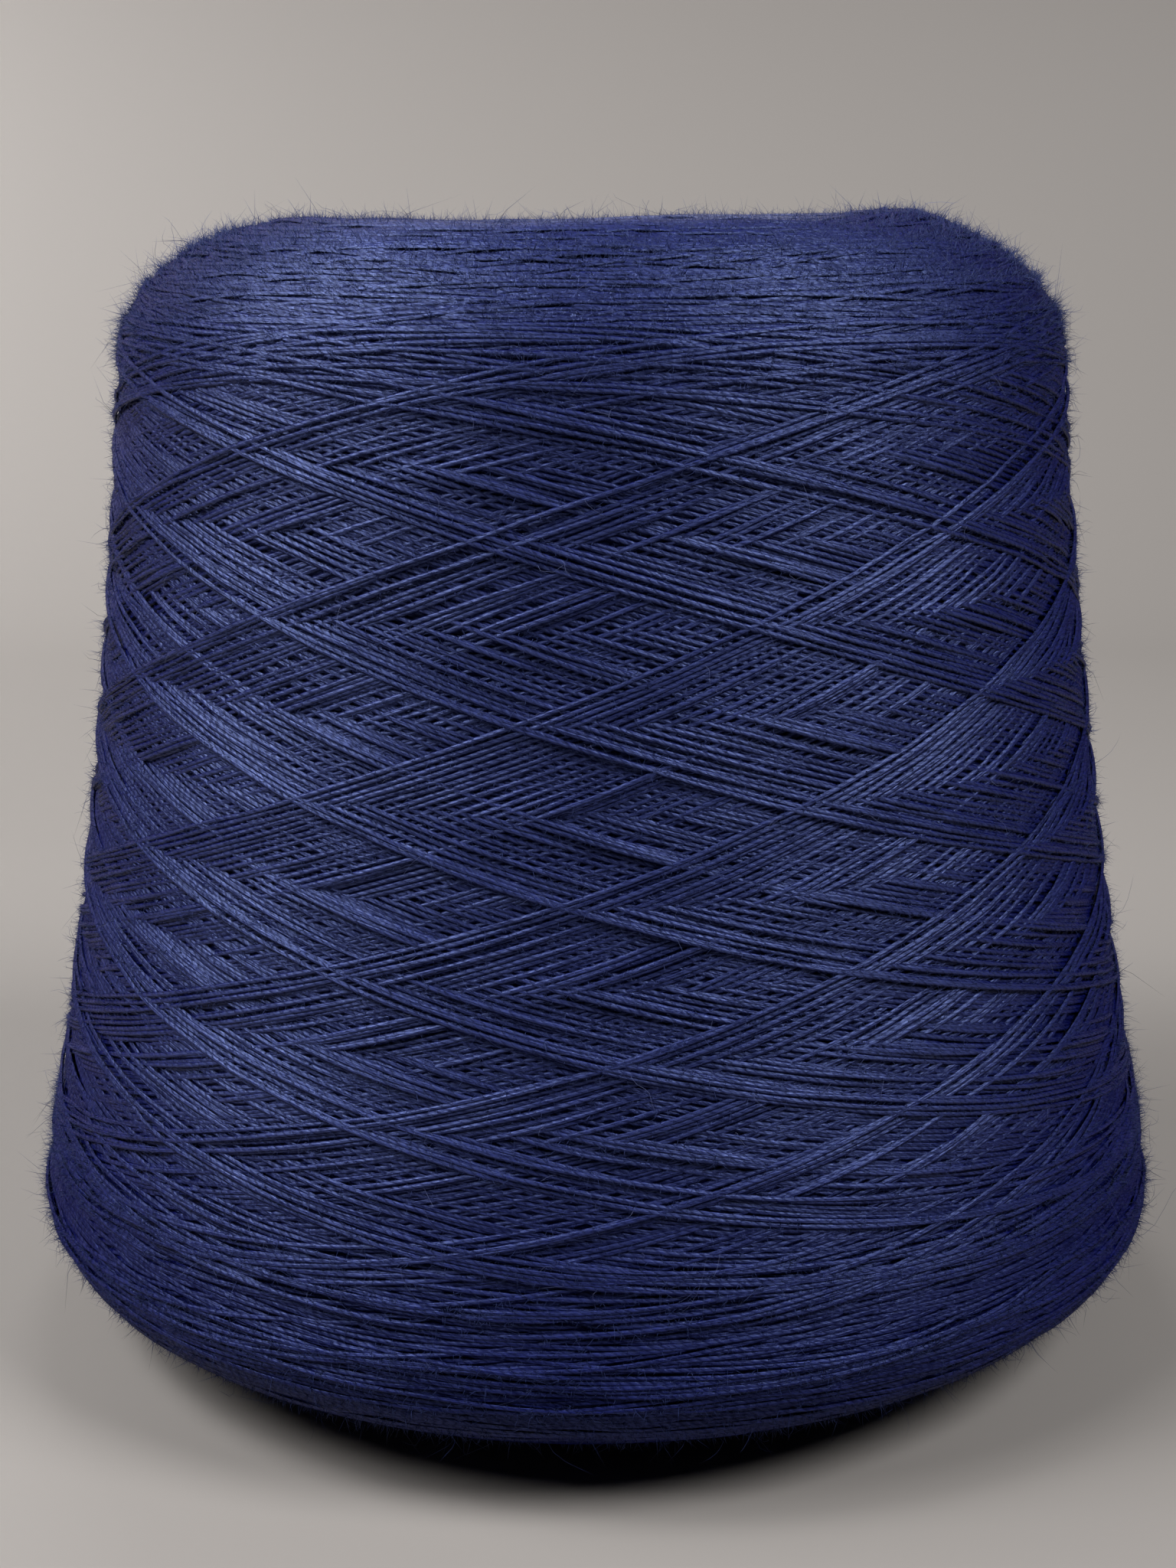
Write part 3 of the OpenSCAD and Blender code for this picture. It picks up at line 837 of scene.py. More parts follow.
class Nodes:
    """Short ways to add shader nodes to a material."""

    def __init__(self, name):
        self.material = bpy.data.materials.new(name)
        self.material.use_nodes = True
        self.tree = self.material.node_tree
        self.tree.nodes.clear()
        out = self.add("ShaderNodeOutputMaterial")
        self.shader = self.add("ShaderNodeBsdfPrincipled")
        self.tree.links.new(self.shader.outputs[0], out.inputs["Surface"])

    def add(self, kind, **settings):
        """A new node with those settings."""
        node = self.tree.nodes.new(kind)
        for key, value in settings.items():
            setattr(node, key, value)
        return node

    def feed(self, socket, value):
        """Links a value to a socket, or sets the socket where the value is the same all over."""
        if isinstance(value, Value):
            self.tree.links.new(value.socket, socket)
        else:
            socket.default_value = value

    def put(self, node, *in_order, output=0, **named):
        """Feeds a node's inputs, in order or by name with _ for a space, and gives one of its outputs."""
        for number, value in enumerate(in_order):
            self.feed(node.inputs[number], value)
        for key, value in named.items():
            self.feed(node.inputs[key.replace("_", " ")], value)
        return Value(self, node.outputs[output])

    def math(self, operation, a, b=0.0):
        """The outcome of that operation on one or two numbers."""
        return self.put(self.add("ShaderNodeMath", operation=operation), a, b)

    def vector(self, operation, *vectors, **named):
        """The same on vectors."""
        return self.put(self.add("ShaderNodeVectorMath", operation=operation), *vectors, **named)

    def mix(self, factor, a, b):
        """A colour between a and b."""
        node = self.add("ShaderNodeMix", data_type="RGBA")
        for number, value in ((0, factor), (6, a), (7, b)):
            self.feed(node.inputs[number], value)
        return Value(self, node.outputs[2])

    def ramp(self, factor, low, high):
        """0 up to low, 1 from high on and an even rise between them; low may be the higher one."""
        return self.put(self.add("ShaderNodeMapRange"), Value=factor, From_Min=low, From_Max=high)

    def noise(self, place, scale, detail, roughness=0.5):
        """An uneven value about 0.5 all over, with that many waves to the unit of place."""
        node = self.add("ShaderNodeTexNoise")
        return self.put(node, Vector=place, Scale=scale, Detail=detail, Roughness=roughness)

    def place(self):
        """The place on the part, in metres."""
        return self.put(self.add("ShaderNodeTexCoord"), output="Object")

    def attribute(self, name):
        """A value that the mesh holds for each point."""
        return self.put(self.add("ShaderNodeAttribute", attribute_name=name), output="Fac")

    def split(self, vector):
        """A vector's three parts."""
        node = self.add("ShaderNodeSeparateXYZ")
        self.feed(node.inputs[0], vector)
        return [Value(self, socket) for socket in node.outputs]

    def join(self, x, y, z):
        """A vector of three parts."""
        return self.put(self.add("ShaderNodeCombineXYZ"), x, y, z)

    def facing(self, **normal):
        """0 where the surface faces the eye, 1 where it is seen edge-on."""
        return self.put(self.add("ShaderNodeLayerWeight"), Blend=0.5, output="Facing", **normal)

    def bumped(self, height, distance, strength=1.0):
        """The normal of a surface with that relief."""
        node = self.add("ShaderNodeBump")
        return self.put(node, Height=height, Distance=distance, Strength=strength)

    def tube_place(self, around, along, radius, stretch):
        """A place on a straight tube, so that a pattern closes round it without a seam."""
        x, y = self.math("COSINE", around) * radius, self.math("SINE", around) * radius
        return self.join(x, y, along * stretch)


def rgba(c):
    """A colour with full opacity."""
    return (c[0], c[1], c[2], 1.0)


def faded(value, share):
    """1 where value is 0, and less by that share where it is 1."""
    return 1.0 - value * share


def weighed(value, share):
    """1 where value is 1, and less by that share where it is 0."""
    return value * share + (1 - share)


# Gloss of the yarn
GLOSS_IOR = 2.0  # of the yarn's fibres
GLOSS_TINT = (0.37, 0.49, 1.0, 1.0)  # colour of their gloss
GLOSS_SHARE = 0.62  # of the gloss of a smooth surface
GLOSS_CONTRAST = 0.92  # share of the gloss that only the lighter yarn has: the fibres, and not the gaps between them nor the painted shade
YARN_ROUGHNESS = 0.60  # of the dullest yarn
GLOSS_POLISH = 0.12  # by which the glossiest yarn is less rough
LIMB_FROM, LIMB_TO, LIMB_LOSS = 0.34, 0.84, 0.72  # fading where the package turns to its side
GRAZED_FROM, GRAZED_TO, GRAZED_LOSS = 0.50, 0.95, 0.88  # fading where a strand is seen edge-on
FOOT_SHADE_FROM, FOOT_SHADE_TO = 0.010, 0.054  # heights between which the gloss comes back above the foot, where it is dimmed as painted shade
FOOT_SHADE_GLOSS = 0.36  # share of the gloss left at the foot, as painted shade
CROWN_FROM, CROWN_TO = 0.146, 0.156  # heights between which the upper rounding starts
CROWN_GLOSS = 0.95  # share of the gloss left there

# The package's own normal: heights between which it turns, and how steeply
UPPER_TURN = (0.1542, 0.1745, 1.42)
LOWER_TURN = (0.020, 0.005, 1.83)
SIDE_TILT = 0.10  # its rise on the tapered side
STEEPEST = 0.96  # share of the turn that it makes, so that it stays short of upright
LIGHT_SPREAD = 0.52  # how far light spreads over the felted yarn, as a share of that normal

# Pattern of the yarn
CURL_SCALES = (620.0, 1100.0)  # of the coarse and the fine curled fibres
CURL_PARTS, PART_SPAN = 1.7, (0.45, 0.62)  # pieces of curled fibre to each curl, and how sharply they end
FIBRES_STRETCH, FLUFF_STRETCH = 240.0, 500.0  # pattern lengths to the metre along the strand
FIBRES_RADIUS, FLUFF_RADIUS = 1.2, 0.9  # of the tube that the patterns are wrapped on
FIBRES_SCALE = 1.25
FELT_PATCHES = 22.0  # scale of the patches where the yarn is more felted
FELTED_FROM, FELTED_TO = 0.140, 0.168  # heights between which the yarn grows more felted
PLY_SPAN, FIBRE_SPAN, FLUFF_SPAN = (0.0, 0.85), (0.36, 0.66), (0.34, 0.68)  # from 0 to 1 in each pattern
PATCH_SPAN, FELT_SPAN = (0.45, 0.85), (0.0, 1.2)
# From 0 to 1 in the painted shade of a strand's underside, and of strands that lie deeper
UNDERSIDE_SHADE_SPAN, DEPTH_SHADE_SPAN = (-0.75, 0.35), (-2.6, 0.2)
TONE_SPAN, GLOSS_SPAN = (0.05, 0.80), (0.0, 0.52)
CURLS_FELTED, CURLS_ALL_OVER = 0.9, 0.35  # strength of the curled fibres, from felt and all over
FIBRE_LIGHT, FLUFF_LIGHT, EVEN_LIGHT, TONE_LIGHT = 0.38, 0.34, 0.20, 0.08  # what makes a strand lighter
CURL_LIGHT = 0.70  # how light the curled fibres are
PLY_GROOVE_SHADE = 0.60  # painted shade in the groove between the two plies
EDGE_SHADE = 0.90  # painted shade on a strand's sides and underside
FRAYED = 0.55  # how far fibres break up the edge of that painted shade
PLY_RELIEF, FLUFF_RELIEF, CURL_RELIEF = 0.6, 0.25, 0.5  # relief, as shares of the fibres' relief
YARN_RELIEF, BED_RELIEF = 0.00012, 0.00035  # in metres

# Pattern of the deep layers
BED_FELT_TOP, BED_FELT_LOW = (0.146, 0.153), (0.016, 0.009)  # heights between which they turn to felt
BED_ROW = 0.00076  # from one buried strand to the next
BED_SWAY, BED_SWAY_SCALE = 11.0, 90.0  # how far and how often buried strands sway
BED_PATCHES = 150.0  # scale of the patches that strands of one direction show in
BED_SLOPES = ((262.0, 34.0), (-262.0, -46.0))  # of both directions, on the side and in the felt
BED_TWIST, BED_TWIST_SHIFT = 120.0, 0.5  # plies of a buried strand, round the package and strand to strand
BED_PLY_GROOVE_SHADE, BED_STRAND_SHADE = 0.5, 0.85  # painted shade between plies and between strands
BED_SIDE_SHADE = 0.35  # painted shade where they aren't felt, on the side, where the deep layers lie deeper
BED_STRAND_SPAN, BED_PATCH_SPAN = (-0.95, 0.55), (0.48, 0.52)  # from 0 to 1 in each pattern
BED_TONE_SPAN, BED_POLISH_SPAN, BED_GLOSS_SPAN = (0.05, 0.95), (0.04, 0.60), (0.0, 0.60)
BED_CURLS_FELTED, BED_CURLS_ALL_OVER = 0.4, 0.25
WOOL_SCALE, WOOL_STRETCH, WOOL_SPAN = 900.0, (0.45, 0.45, 1.7), (0.34, 0.66)


def curly_lines(n, place, thin, seeds):
    """Coarse and fine curled lines all over, broken into short pieces, as loose fibres draw on a surface."""
    layers = []
    for scale, width, seed in zip(CURL_SCALES, thin, seeds):
        moved = n.vector("ADD", place, (seed, 2 * seed, -seed))
        field = n.noise(moved, scale, detail=1.5, roughness=0.6)
        parts = n.noise(moved, scale * CURL_PARTS, detail=0.0)
        layers.append(n.ramp(abs(field - 0.5), width, 0.0) * n.ramp(parts, *PART_SPAN))
    return n.math("MAXIMUM", *layers)


def gloss_left(n, place):
    """Share of the gloss that is left where the yarn is seen from the side, at the foot, where it is dimmed
    as painted shade, and on the crown.
    """
    x, y, z = n.split(place)
    aside = n.facing(Normal=n.vector("NORMALIZE", n.join(x, y, 0.0)))
    turned = faded(n.ramp(aside, LIMB_FROM, LIMB_TO), LIMB_LOSS)
    grazed = faded(n.ramp(n.facing(), GRAZED_FROM, GRAZED_TO), GRAZED_LOSS)
    # Painted shade: the gloss is dimmed towards the foot
    foot = weighed(n.ramp(z, FOOT_SHADE_FROM, FOOT_SHADE_TO), 1 - FOOT_SHADE_GLOSS)
    crown = faded(n.ramp(z, CROWN_FROM, CROWN_TO), 1 - CROWN_GLOSS)
    return turned * grazed * GLOSS_SHARE * (foot * crown)


def felted_normal(n, place, normal):
    """The normal, drawn towards the package's own, as light spreads in felted yarn."""
    x, y, z = n.split(place)

    def steep(start, end, stretch):
        """How steep an ellipse is between those heights."""
        t = n.math("MINIMUM", n.ramp(z, start, end), STEEPEST)
        return t / n.math("SQRT", 1.0 - t * t) * stretch

    tilt = steep(*UPPER_TURN) - steep(*LOWER_TURN) + SIDE_TILT
    level = n.vector("NORMALIZE", n.join(x, y, 0.0))
    out = n.vector("NORMALIZE", n.vector("ADD", level, n.join(0.0, 0.0, tilt)))
    own = n.vector("SCALE", normal, Scale=1 - LIGHT_SPREAD)
    both = n.vector("ADD", own, n.vector("SCALE", out, Scale=LIGHT_SPREAD))
    return n.vector("NORMALIZE", both)


def finish_yarn(n, yarn, place, tone, polish, gloss, bump):
    """Blue yarn from dark to light by tone, with its tinted gloss and its relief."""
    n.put(
        n.shader,
        Base_Color=n.mix(tone, rgba(yarn.dark), rgba(yarn.light)),
        Roughness=YARN_ROUGHNESS - polish * GLOSS_POLISH,
        IOR=GLOSS_IOR,
        Specular_IOR_Level=weighed(gloss, GLOSS_CONTRAST) * gloss_left(n, place),
        Specular_Tint=GLOSS_TINT,
        Normal=felted_normal(n, place, bump),
    )
    return n.material


def yarn_material(yarn):
    """Two-ply navy yarn: plies that turn round each other, fine fibres along them, curled ones over them,
    with painted shade in the ply grooves, on strand sides and undersides and on deeper strands.
    """
    n = Nodes("navy_yarn")
    along, side, _ = n.split(n.put(n.add("ShaderNodeUVMap", uv_map="along_strand")))
    place = n.place()
    around = side * TURN
    twisted = around + along * (TURN / yarn.ply_pitch)
    ply = n.ramp(abs(n.math("COSINE", twisted)), *PLY_SPAN)
    wrapped = n.tube_place(around, along, FIBRES_RADIUS, FIBRES_STRETCH)
    fibre = n.ramp(n.noise(wrapped, FIBRES_SCALE, detail=2.0, roughness=0.6), *FIBRE_SPAN)
    wrapped = n.tube_place(twisted, along, FLUFF_RADIUS, FLUFF_STRETCH)
    fluff = n.ramp(n.noise(wrapped, 1.0, detail=1.0), *FLUFF_SPAN)
    patches = n.ramp(n.noise(place, FELT_PATCHES, detail=2.0), *PATCH_SPAN)
    felted = n.ramp(n.ramp(n.split(place)[2], FELTED_FROM, FELTED_TO) + patches, *FELT_SPAN)
    curls = curly_lines(n, place, thin=(0.020, 0.030), seeds=(0.3, 0.7))
    curls = curls * (felted * CURLS_FELTED + CURLS_ALL_OVER)
    light = fibre * FIBRE_LIGHT + fluff * FLUFF_LIGHT + EVEN_LIGHT + n.attribute("tone") * TONE_LIGHT
    # Painted shade in the groove between the plies
    light = light * weighed(ply, PLY_GROOVE_SHADE)
    # Painted shade on a strand's sides and underside, with a frayed edge
    frayed = (fibre + fluff - 1.0) * FRAYED
    underside_shade = n.ramp(frayed - n.math("COSINE", around), *UNDERSIDE_SHADE_SPAN)
    light = light * weighed(underside_shade, EDGE_SHADE)
    # Painted shade on strands that lie deeper; the curled fibres are laid over it
    light = light * n.ramp(n.attribute("depth"), *DEPTH_SHADE_SPAN) + curls * CURL_LIGHT
    gloss = n.ramp(light, *GLOSS_SPAN)
    relief = ply * PLY_RELIEF + fibre + fluff * FLUFF_RELIEF + curls * CURL_RELIEF
    bump = n.bumped(relief, YARN_RELIEF)
    return finish_yarn(n, yarn, place, n.ramp(light, *TONE_SPAN), gloss, gloss, bump)


PALER_FROM, PALER_TO = -1.2, 2.2  # a fibre's tone where it is its darkest and its palest
FIBRE_SHADE_TO, FIBRE_UNSHADED_FROM = 0.014, 0.040  # heights between which the painted shade that keeps fibres dark under the foot gives way, so that they may be pale by their tone


def fuzz_material(name, shade, pale):
    """Single fibres in that blue, some of them paler, with painted shade that keeps them dark under the foot.
    """
    n = Nodes(name)
    height = n.split(n.place())[2]
    # Painted shade: fibres under the foot are kept dark
    unshaded_above_foot = n.ramp(height, FIBRE_SHADE_TO, FIBRE_UNSHADED_FROM)
    paler = n.ramp(n.attribute("tone"), PALER_FROM, PALER_TO) * unshaded_above_foot
    n.put(
        n.shader,
        Base_Color=n.mix(paler, rgba(shade), rgba(pale)),
        Roughness=0.6,
        IOR=1.5,
        Specular_IOR_Level=0.5,
        Specular_Tint=GLOSS_TINT,
    )
    return n.material


def bed_material(yarn):
    """Deep layers between the strands: buried strands, crossed, and felt where they reach the surface, with
    painted shade between plies and strands and on the side's deeper layers.
    """
    n = Nodes("inner_yarn")
    place = n.place()
    x, y, z = n.split(place)
    azimuth = n.math("ARCTAN2", y, x)
    felted = n.math("MAXIMUM", n.ramp(z, *BED_FELT_TOP), n.ramp(z, *BED_FELT_LOW))
    sway = n.noise(place, BED_SWAY_SCALE, detail=2.0) * BED_SWAY
    rows = n.attribute("section_way") * (TURN / BED_ROW) + sway
    strands = []
    for on_side, in_felt in BED_SLOPES:
        slope = n.math("GREATER_THAN", felted, 0.5) * (in_felt - on_side) + on_side
        phase = rows + azimuth * slope
        ply = abs(n.math("SINE", azimuth * BED_TWIST + phase * BED_TWIST_SHIFT))
        ridge = n.ramp(n.math("SINE", phase), *BED_STRAND_SPAN)
        # Painted shade between a buried strand's plies
        strands.append(ridge * weighed(ply, BED_PLY_GROOVE_SHADE))
    across = n.ramp(n.noise(place, BED_PATCHES, detail=1.0), *BED_PATCH_SPAN)
    lines = strands[0] * across + strands[1] * (1.0 - across)
    wool = n.noise(n.vector("MULTIPLY", place, WOOL_STRETCH), WOOL_SCALE, detail=2.0, roughness=0.7)
    # Painted shade between buried strands, and on the side where the layers aren't felt
    light = n.ramp(wool, *WOOL_SPAN) * weighed(lines, BED_STRAND_SHADE) * weighed(felted, BED_SIDE_SHADE)
    curls = curly_lines(n, place, thin=(0.022, 0.034), seeds=(0.9, 0.2))
    light = light + curls * (felted * BED_CURLS_FELTED + BED_CURLS_ALL_OVER)
    tone, polish = n.ramp(light, *BED_TONE_SPAN), n.ramp(light, *BED_POLISH_SPAN)
    gloss = n.ramp(light, *BED_GLOSS_SPAN)
    return finish_yarn(n, yarn, place, tone, polish, gloss, n.bumped(light, BED_RELIEF))


BOARD_FIBRES, BOARD_MOTTLE = 1600.0, 120.0  # scales of the board's patterns
SEAM_WIDTH = 0.012  # of the wind's seam, in turns
FIBRE_DARK, MOTTLE_DARK, SEAM_DARK = 0.50, 0.35, 0.45  # how much darker each makes the board
BOARD_FIBRE_SPAN, BOARD_SPAN = (0.4, 0.75), (0.1, 1.0)  # from 0 to 1 in the fibres and in all of it
BOARD_RELIEF = 0.00012  # in metres
BOARD_FIBRE_RELIEF = 0.4  # relief of the fibres, as a share of the seam's


def paper_material(paper):
    """Wound kraft board: fibres, faint mottling and the seam of its own spiral wind."""
    n = Nodes("kraft_board")
    place = n.place()
    x, y, z = n.split(place)
    fibre = n.noise(place, BOARD_FIBRES, detail=4.0, roughness=0.7)
    mottle = n.noise(place, BOARD_MOTTLE, detail=3.0, roughness=0.6)
    turns = z / paper.ply_height - n.math("ARCTAN2", y, x) / TURN
    # Ten turns more keep the count above 0
    seam = n.ramp(abs(n.math("FRACT", turns + 10.0) - 0.5), SEAM_WIDTH, 0.0)
    blend = n.ramp(fibre, *BOARD_FIBRE_SPAN) * FIBRE_DARK + mottle * MOTTLE_DARK + seam * SEAM_DARK
    n.put(
        n.shader,
        Base_Color=n.mix(n.ramp(blend, *BOARD_SPAN), rgba(paper.base), rgba(paper.fibre)),
        Roughness=0.88,
        Specular_IOR_Level=0.25,
        Normal=n.bumped(fibre * BOARD_FIBRE_RELIEF - seam, BOARD_RELIEF, strength=0.7),
    )
    return n.material


FLOOR_GRAIN = 0.985  # brightness of the floor's darker grain, as a share of the floor's
FLOOR_GRAIN_SCALE = 900.0


def stage_material(stage):
    """Pale matt floor with a faint grain."""
    n = Nodes("pale_floor")
    grain = n.noise(n.place(), FLOOR_GRAIN_SCALE, detail=2.0)
    darker = [c * FLOOR_GRAIN for c in stage.floor]
    n.put(
        n.shader,
        Base_Color=n.mix(grain, rgba(darker), rgba(stage.floor)),
        Roughness=0.6,
        Specular_IOR_Level=0.2,
    )
    return n.material


# Operators -----------------------------------------------------------------------------------


BED_STEP = 8  # steps of the section to one ring of the closed body
BED_STEPS_ROUND = 120
CONE_RINGS = 12  # of the body, down the paper cone
CONE_CLEARANCE = 0.00002  # between that and the paper
MERGE_DISTANCE = 0.00001

FLOOR_BEND, WALL_TOP, FLOOR_FRONT, FLOOR_HALF = 0.30, 1.6, -2.2, 2.4  # metres
BEND_STEPS = 24

# Soft round lamps: name, place, the point it shines at, diameter and power in watts
LAMPS = (
    ("left", (-0.800, -0.452, 1.009), (0, 0, 0.09), 0.6, 10.0),
    ("side", (-1.024, 0.036, 0.890), (0, 0, 0.09), 0.6, 6.2),
    ("right", (0.792, -0.468, 1.009), (0, 0, 0.09), 0.6, 16.4),
    ("crown", (-0.10, 0.75, 0.95), (0, 0, 0.17), 0.4, 2.7),
    ("backdrop_low", (-0.75, 0.50, 0.45), (-0.60, 1.40, 0.20), 0.3, 3.8),
    ("backdrop_high", (-1.10, 0.35, 0.70), (-0.90, 1.32, 0.60), 0.4, 2.8),
    ("floor_left", (-0.55, -0.15, 0.80), (-0.65, 0.10, -0.10), 0.3, 4.8),
)
ROOM_COLOUR, ROOM_LIGHT = (0.86, 0.86, 0.88, 1), 0.008


def finished(piece, node):
    """Hangs a piece of the part on its only body and hides the CAD part that it stands for."""
    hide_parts(node)
    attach(piece, "root")


class YARNCONE_OT_wind_yarn(bpy.types.Operator):
    """Wind the yarn, strand by strand, over the package and both its ends"""

    bl_idname = "yarncone.wind_yarn"
    bl_label = "Wind Yarn"

    def execute(self, context):
        scene = context.scene
        result = wound(scene.yarn_package, scene.yarn_strand, scene.yarn_paper)
        for piece in wind_strands(result, scene.yarn_strand, yarn_material(scene.yarn_strand)):
            finished(piece, "yarn_winding")
        return {"FINISHED"}


class YARNCONE_OT_fill_package(bpy.types.Operator):
    """Fill the package under the shown strands with one closed body"""

    bl_idname = "yarncone.fill_package"
    bl_label = "Fill Package"

    def execute(self, context):
        scene = context.scene
        section = wound(scene.yarn_package, scene.yarn_strand, scene.yarn_paper)["section"]
        depth = bed_depth(section)
        radius = section.r - section.out_r * depth
        height = section.z - section.out_z * depth
        taper = math.tan(scene.yarn_paper.half_angle)
        line = np.column_stack([radius, height])[::BED_STEP]
        levels = np.linspace(line[-1][1], line[0][1], CONE_RINGS)
        profile = [tuple(p) for p in line] + [(CONE_HIGH.x - z * taper + CONE_CLEARANCE, z) for z in levels]
        bpy.ops.object.select_all(action="DESELECT")
        mesh = bpy.data.meshes.new("inner_layers")
        mesh.from_pydata(
            [(r, 0, z) for r, z in profile], [(i, (i + 1) % len(profile)) for i in range(len(profile))], []
        )
        piece = bpy.data.objects.new("inner_layers", mesh)
        context.collection.objects.link(piece)
        context.view_layer.objects.active = piece
        piece.select_set(True)
        bpy.ops.object.mode_set(mode="EDIT")
        bpy.ops.mesh.select_all(action="SELECT")
        bpy.ops.mesh.spin(steps=BED_STEPS_ROUND, angle=TURN, center=(0, 0, 0), axis=(0, 0, 1))
        bpy.ops.mesh.select_all(action="SELECT")
        bpy.ops.mesh.remove_doubles(threshold=MERGE_DISTANCE)
        bpy.ops.mesh.normals_make_consistent(inside=False)
        bpy.ops.object.mode_set(mode="OBJECT")
        put_in_order(piece.data)
        bpy.ops.object.shade_smooth()
        self.lift_crest(piece.data, section, line)
        piece.data.materials.append(bed_material(scene.yarn_strand))
        finished(piece, "yarn_package")
        return {"FINISHED"}

    def lift_crest(self, mesh, section, line):
        """Lifts the crest as the strands over it are lifted, and notes each point's place on the section."""
        points = np.empty(3 * len(mesh.vertices), np.float32)
        mesh.vertices.foreach_get("co", points)
        points = points.reshape(-1, 3)
        flat = np.column_stack([np.hypot(points[:, 0], points[:, 1]), points[:, 2]])
        nearest = BED_STEP * np.argmin(((flat[:, None] - line[None]) ** 2).sum(axis=2), axis=1)
        azimuth = np.arctan2(points[:, 1], points[:, 0])
        lift = section.unevenness(section.s[nearest], azimuth)
        out_r, out_z = section.out_r[nearest], section.out_z[nearest]
        out = np.stack([out_r * np.cos(azimuth), out_r * np.sin(azimuth), out_z], axis=1)
        points += (out * lift[:, None]).astype(np.float32)
        mesh.vertices.foreach_set("co", points.ravel())
        mesh.update()
        way = mesh.attributes.new("section_way", "FLOAT", "POINT")
        way.data.foreach_set("value", section.s[nearest].astype(np.float32))


class YARNCONE_OT_raise_fuzz(bpy.types.Operator):
    """Raise loose fibres all over the yarn"""

    bl_idname = "yarncone.raise_fuzz"
    bl_label = "Raise Fuzz"

    def execute(self, context):
        scene = context.scene
        result = wound(scene.yarn_package, scene.yarn_strand, scene.yarn_paper)
        fuzz = scene.yarn_fuzz
        loose = fuzz_material("loose_fibres", fuzz.shade, fuzz.mid)
        pale = fuzz_material("pale_fibres", fuzz.shade, fuzz.pale)
        for piece in fuzz_fibres(result, fuzz, loose, pale):
            finished(piece, "yarn_winding")
        return {"FINISHED"}


class YARNCONE_OT_finish_paper(bpy.types.Operator):
    """Give the paper cone its kraft board"""

    bl_idname = "yarncone.finish_paper"
    bl_label = "Finish Paper Cone"

    def execute(self, context):
        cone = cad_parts["paper_cone"]
        material = paper_material(context.scene.yarn_paper)
        if not cone.material_slots:
            cone.data.materials.append(material)
        for slot in cone.material_slots:
            slot.material = material
        return {"FINISHED"}


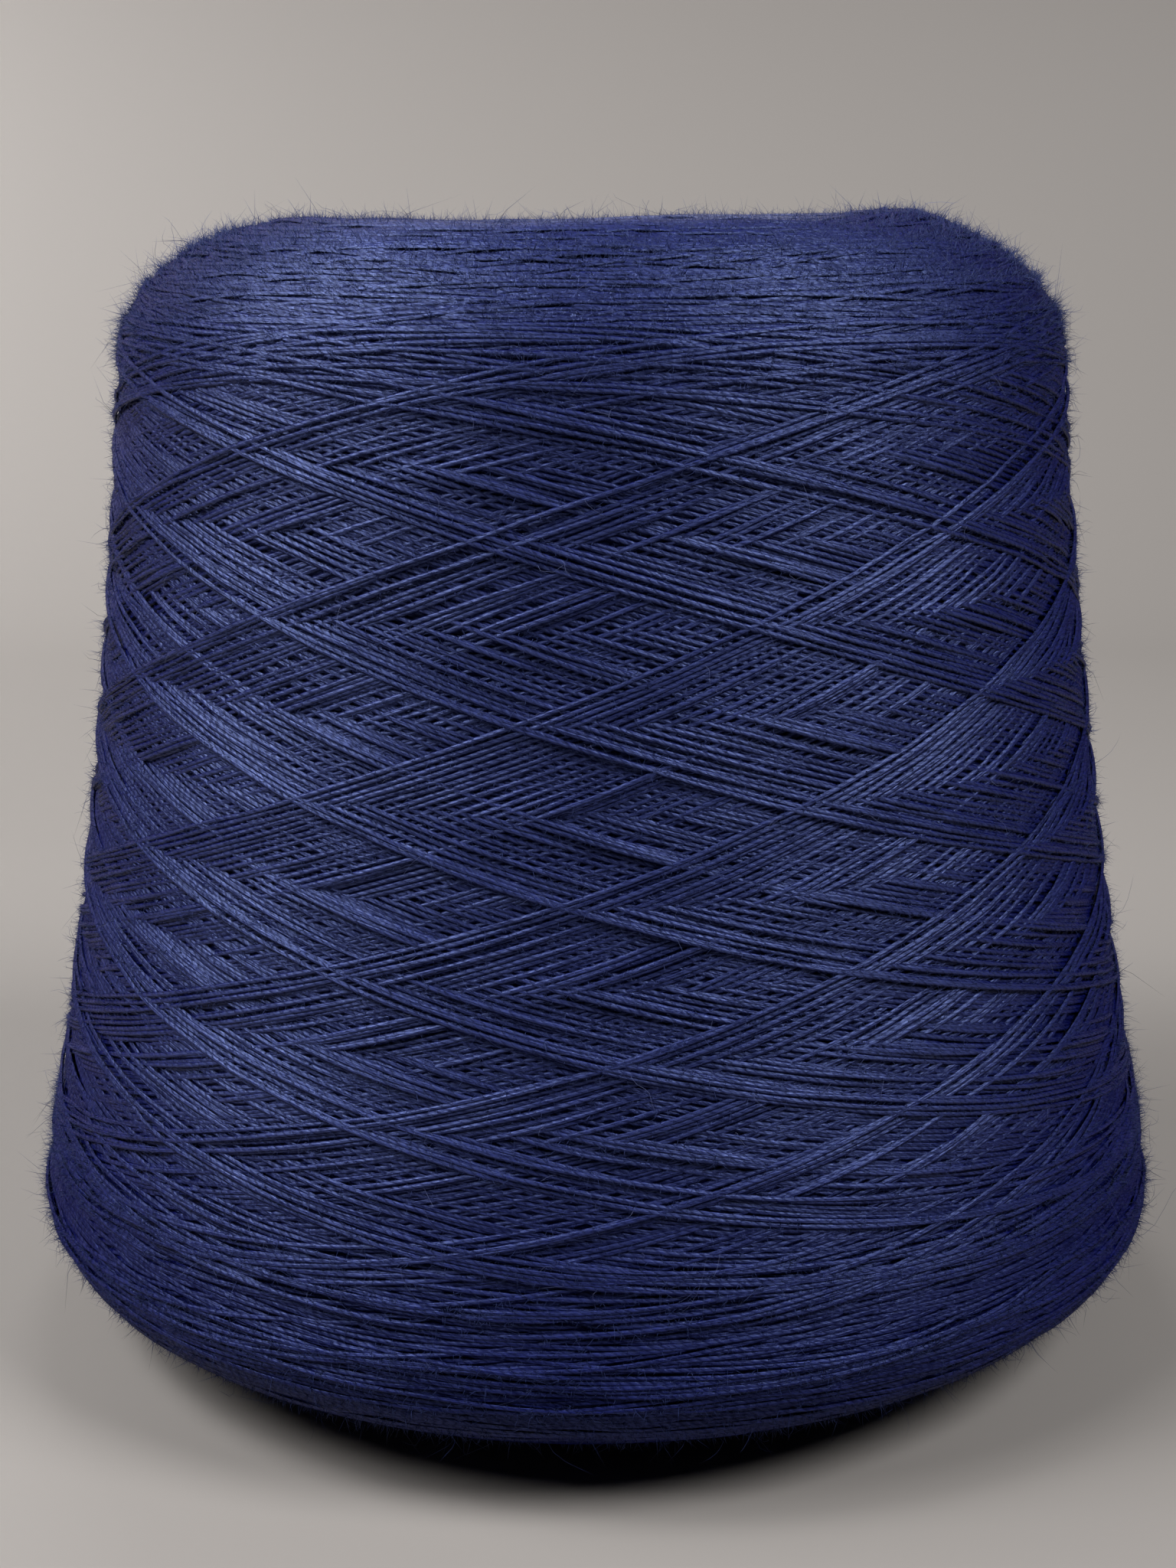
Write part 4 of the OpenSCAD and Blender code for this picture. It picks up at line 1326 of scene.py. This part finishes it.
class YARNCONE_OT_set_stage(bpy.types.Operator):
    """Set the pale floor, its curved backdrop, the soft lights and the camera"""

    bl_idname = "yarncone.set_stage"
    bl_label = "Set Stage"

    def execute(self, context):
        stage = context.scene.yarn_stage
        self.floor(context, stage)
        self.lights(context)
        self.camera(context, stage)
        return {"FINISHED"}

    def floor(self, context, stage):
        """A floor that sweeps up behind into a wall."""
        u = np.linspace(0, math.pi / 2, BEND_STEPS)
        line = [(FLOOR_FRONT, 0.0), (-0.5, 0.0), (0.0, 0.0)]
        line += [(stage.sweep + FLOOR_BEND * math.sin(a), FLOOR_BEND * (1 - math.cos(a))) for a in u]
        line += [(stage.sweep + FLOOR_BEND, WALL_TOP)]
        points = [(x, y, z) for x in (-FLOOR_HALF, FLOOR_HALF) for y, z in line]
        n = len(line)
        faces = [(i, i + n, i + n + 1, i + 1) for i in range(n - 1)]
        mesh = bpy.data.meshes.new("floor")
        mesh.from_pydata(points, [], faces)
        mesh.polygons.foreach_set("use_smooth", [True] * len(faces))
        floor = bpy.data.objects.new("floor", mesh)
        context.collection.objects.link(floor)
        mesh.materials.append(stage_material(stage))

    def lights(self, context):
        """Soft lamps above on both sides and behind, for the backdrop and the floor, in a dim room."""
        for name, place, aim, width, power in LAMPS:
            data = bpy.data.lights.new(name, "AREA")
            data.shape, data.size, data.energy = "DISK", width, power
            light = bpy.data.objects.new(name, data)
            light.location = place
            light.rotation_euler = (Vector(place) - Vector(aim)).to_track_quat("Z", "Y").to_euler()
            light.visible_camera = False
            context.collection.objects.link(light)
        world = bpy.data.worlds.new("studio")
        world.use_nodes = True
        room = world.node_tree.nodes["Background"]
        room.inputs["Color"].default_value = ROOM_COLOUR
        room.inputs["Strength"].default_value = ROOM_LIGHT
        context.scene.world = world
        context.scene.view_settings.view_transform = "Standard"

    def camera(self, context, stage):
        """The camera, in front and looking down."""
        data = bpy.data.cameras.new("camera")
        data.lens, data.sensor_width = stage.lens, 36.0
        data.clip_start, data.clip_end = 0.01, 20.0
        camera = bpy.data.objects.new("camera", data)
        camera.location = (stage.camera_x, stage.camera_y, stage.camera_z)
        tilt = Matrix.Rotation(math.pi / 2 - stage.pitch, 4, "X") @ Matrix.Rotation(stage.roll, 4, "Z")
        camera.rotation_euler = tilt.to_euler()
        context.collection.objects.link(camera)
        context.scene.camera = camera


class YARNCONE_PT_panel(bpy.types.Panel):
    """The yarn cone's steps and sizes."""

    bl_idname = "YARNCONE_PT_panel"
    bl_label = "Yarn Cone"
    bl_space_type = "VIEW_3D"
    bl_region_type = "UI"
    bl_category = "Yarn Cone"

    def draw(self, context):
        layout = self.layout
        for operator, group in STEPS:
            box = layout.box()
            box.operator(operator.bl_idname)
            for name in getattr(context.scene, group).__annotations__:
                box.prop(getattr(context.scene, group), name)


GROUPS = {
    "yarn_package": YARNCONE_PG_package,
    "yarn_strand": YARNCONE_PG_yarn,
    "yarn_fuzz": YARNCONE_PG_fuzz,
    "yarn_paper": YARNCONE_PG_paper,
    "yarn_stage": YARNCONE_PG_stage,
}
STEPS = (
    (YARNCONE_OT_set_stage, "yarn_stage"),
    (YARNCONE_OT_finish_paper, "yarn_paper"),
    (YARNCONE_OT_fill_package, "yarn_package"),
    (YARNCONE_OT_wind_yarn, "yarn_strand"),
    (YARNCONE_OT_raise_fuzz, "yarn_fuzz"),
)
CLASSES = (*GROUPS.values(), *(operator for operator, _ in STEPS), YARNCONE_PT_panel)


def register():
    """Adds the steps, the panel and the settings to Blender."""
    for cls in CLASSES:
        bpy.utils.register_class(cls)
    for name, group in GROUPS.items():
        setattr(bpy.types.Scene, name, PointerProperty(type=group))


def unregister():
    """Takes them out again."""
    for name in GROUPS:
        delattr(bpy.types.Scene, name)
    for cls in reversed(CLASSES):
        bpy.utils.unregister_class(cls)


def main():
    """Builds the cone from the stage to its loose fibres."""
    register()
    bpy.ops.yarncone.set_stage()
    bpy.ops.yarncone.finish_paper()
    bpy.ops.yarncone.fill_package()
    bpy.ops.yarncone.wind_yarn()
    bpy.ops.yarncone.raise_fuzz()


if __name__ == "__main__":
    main()
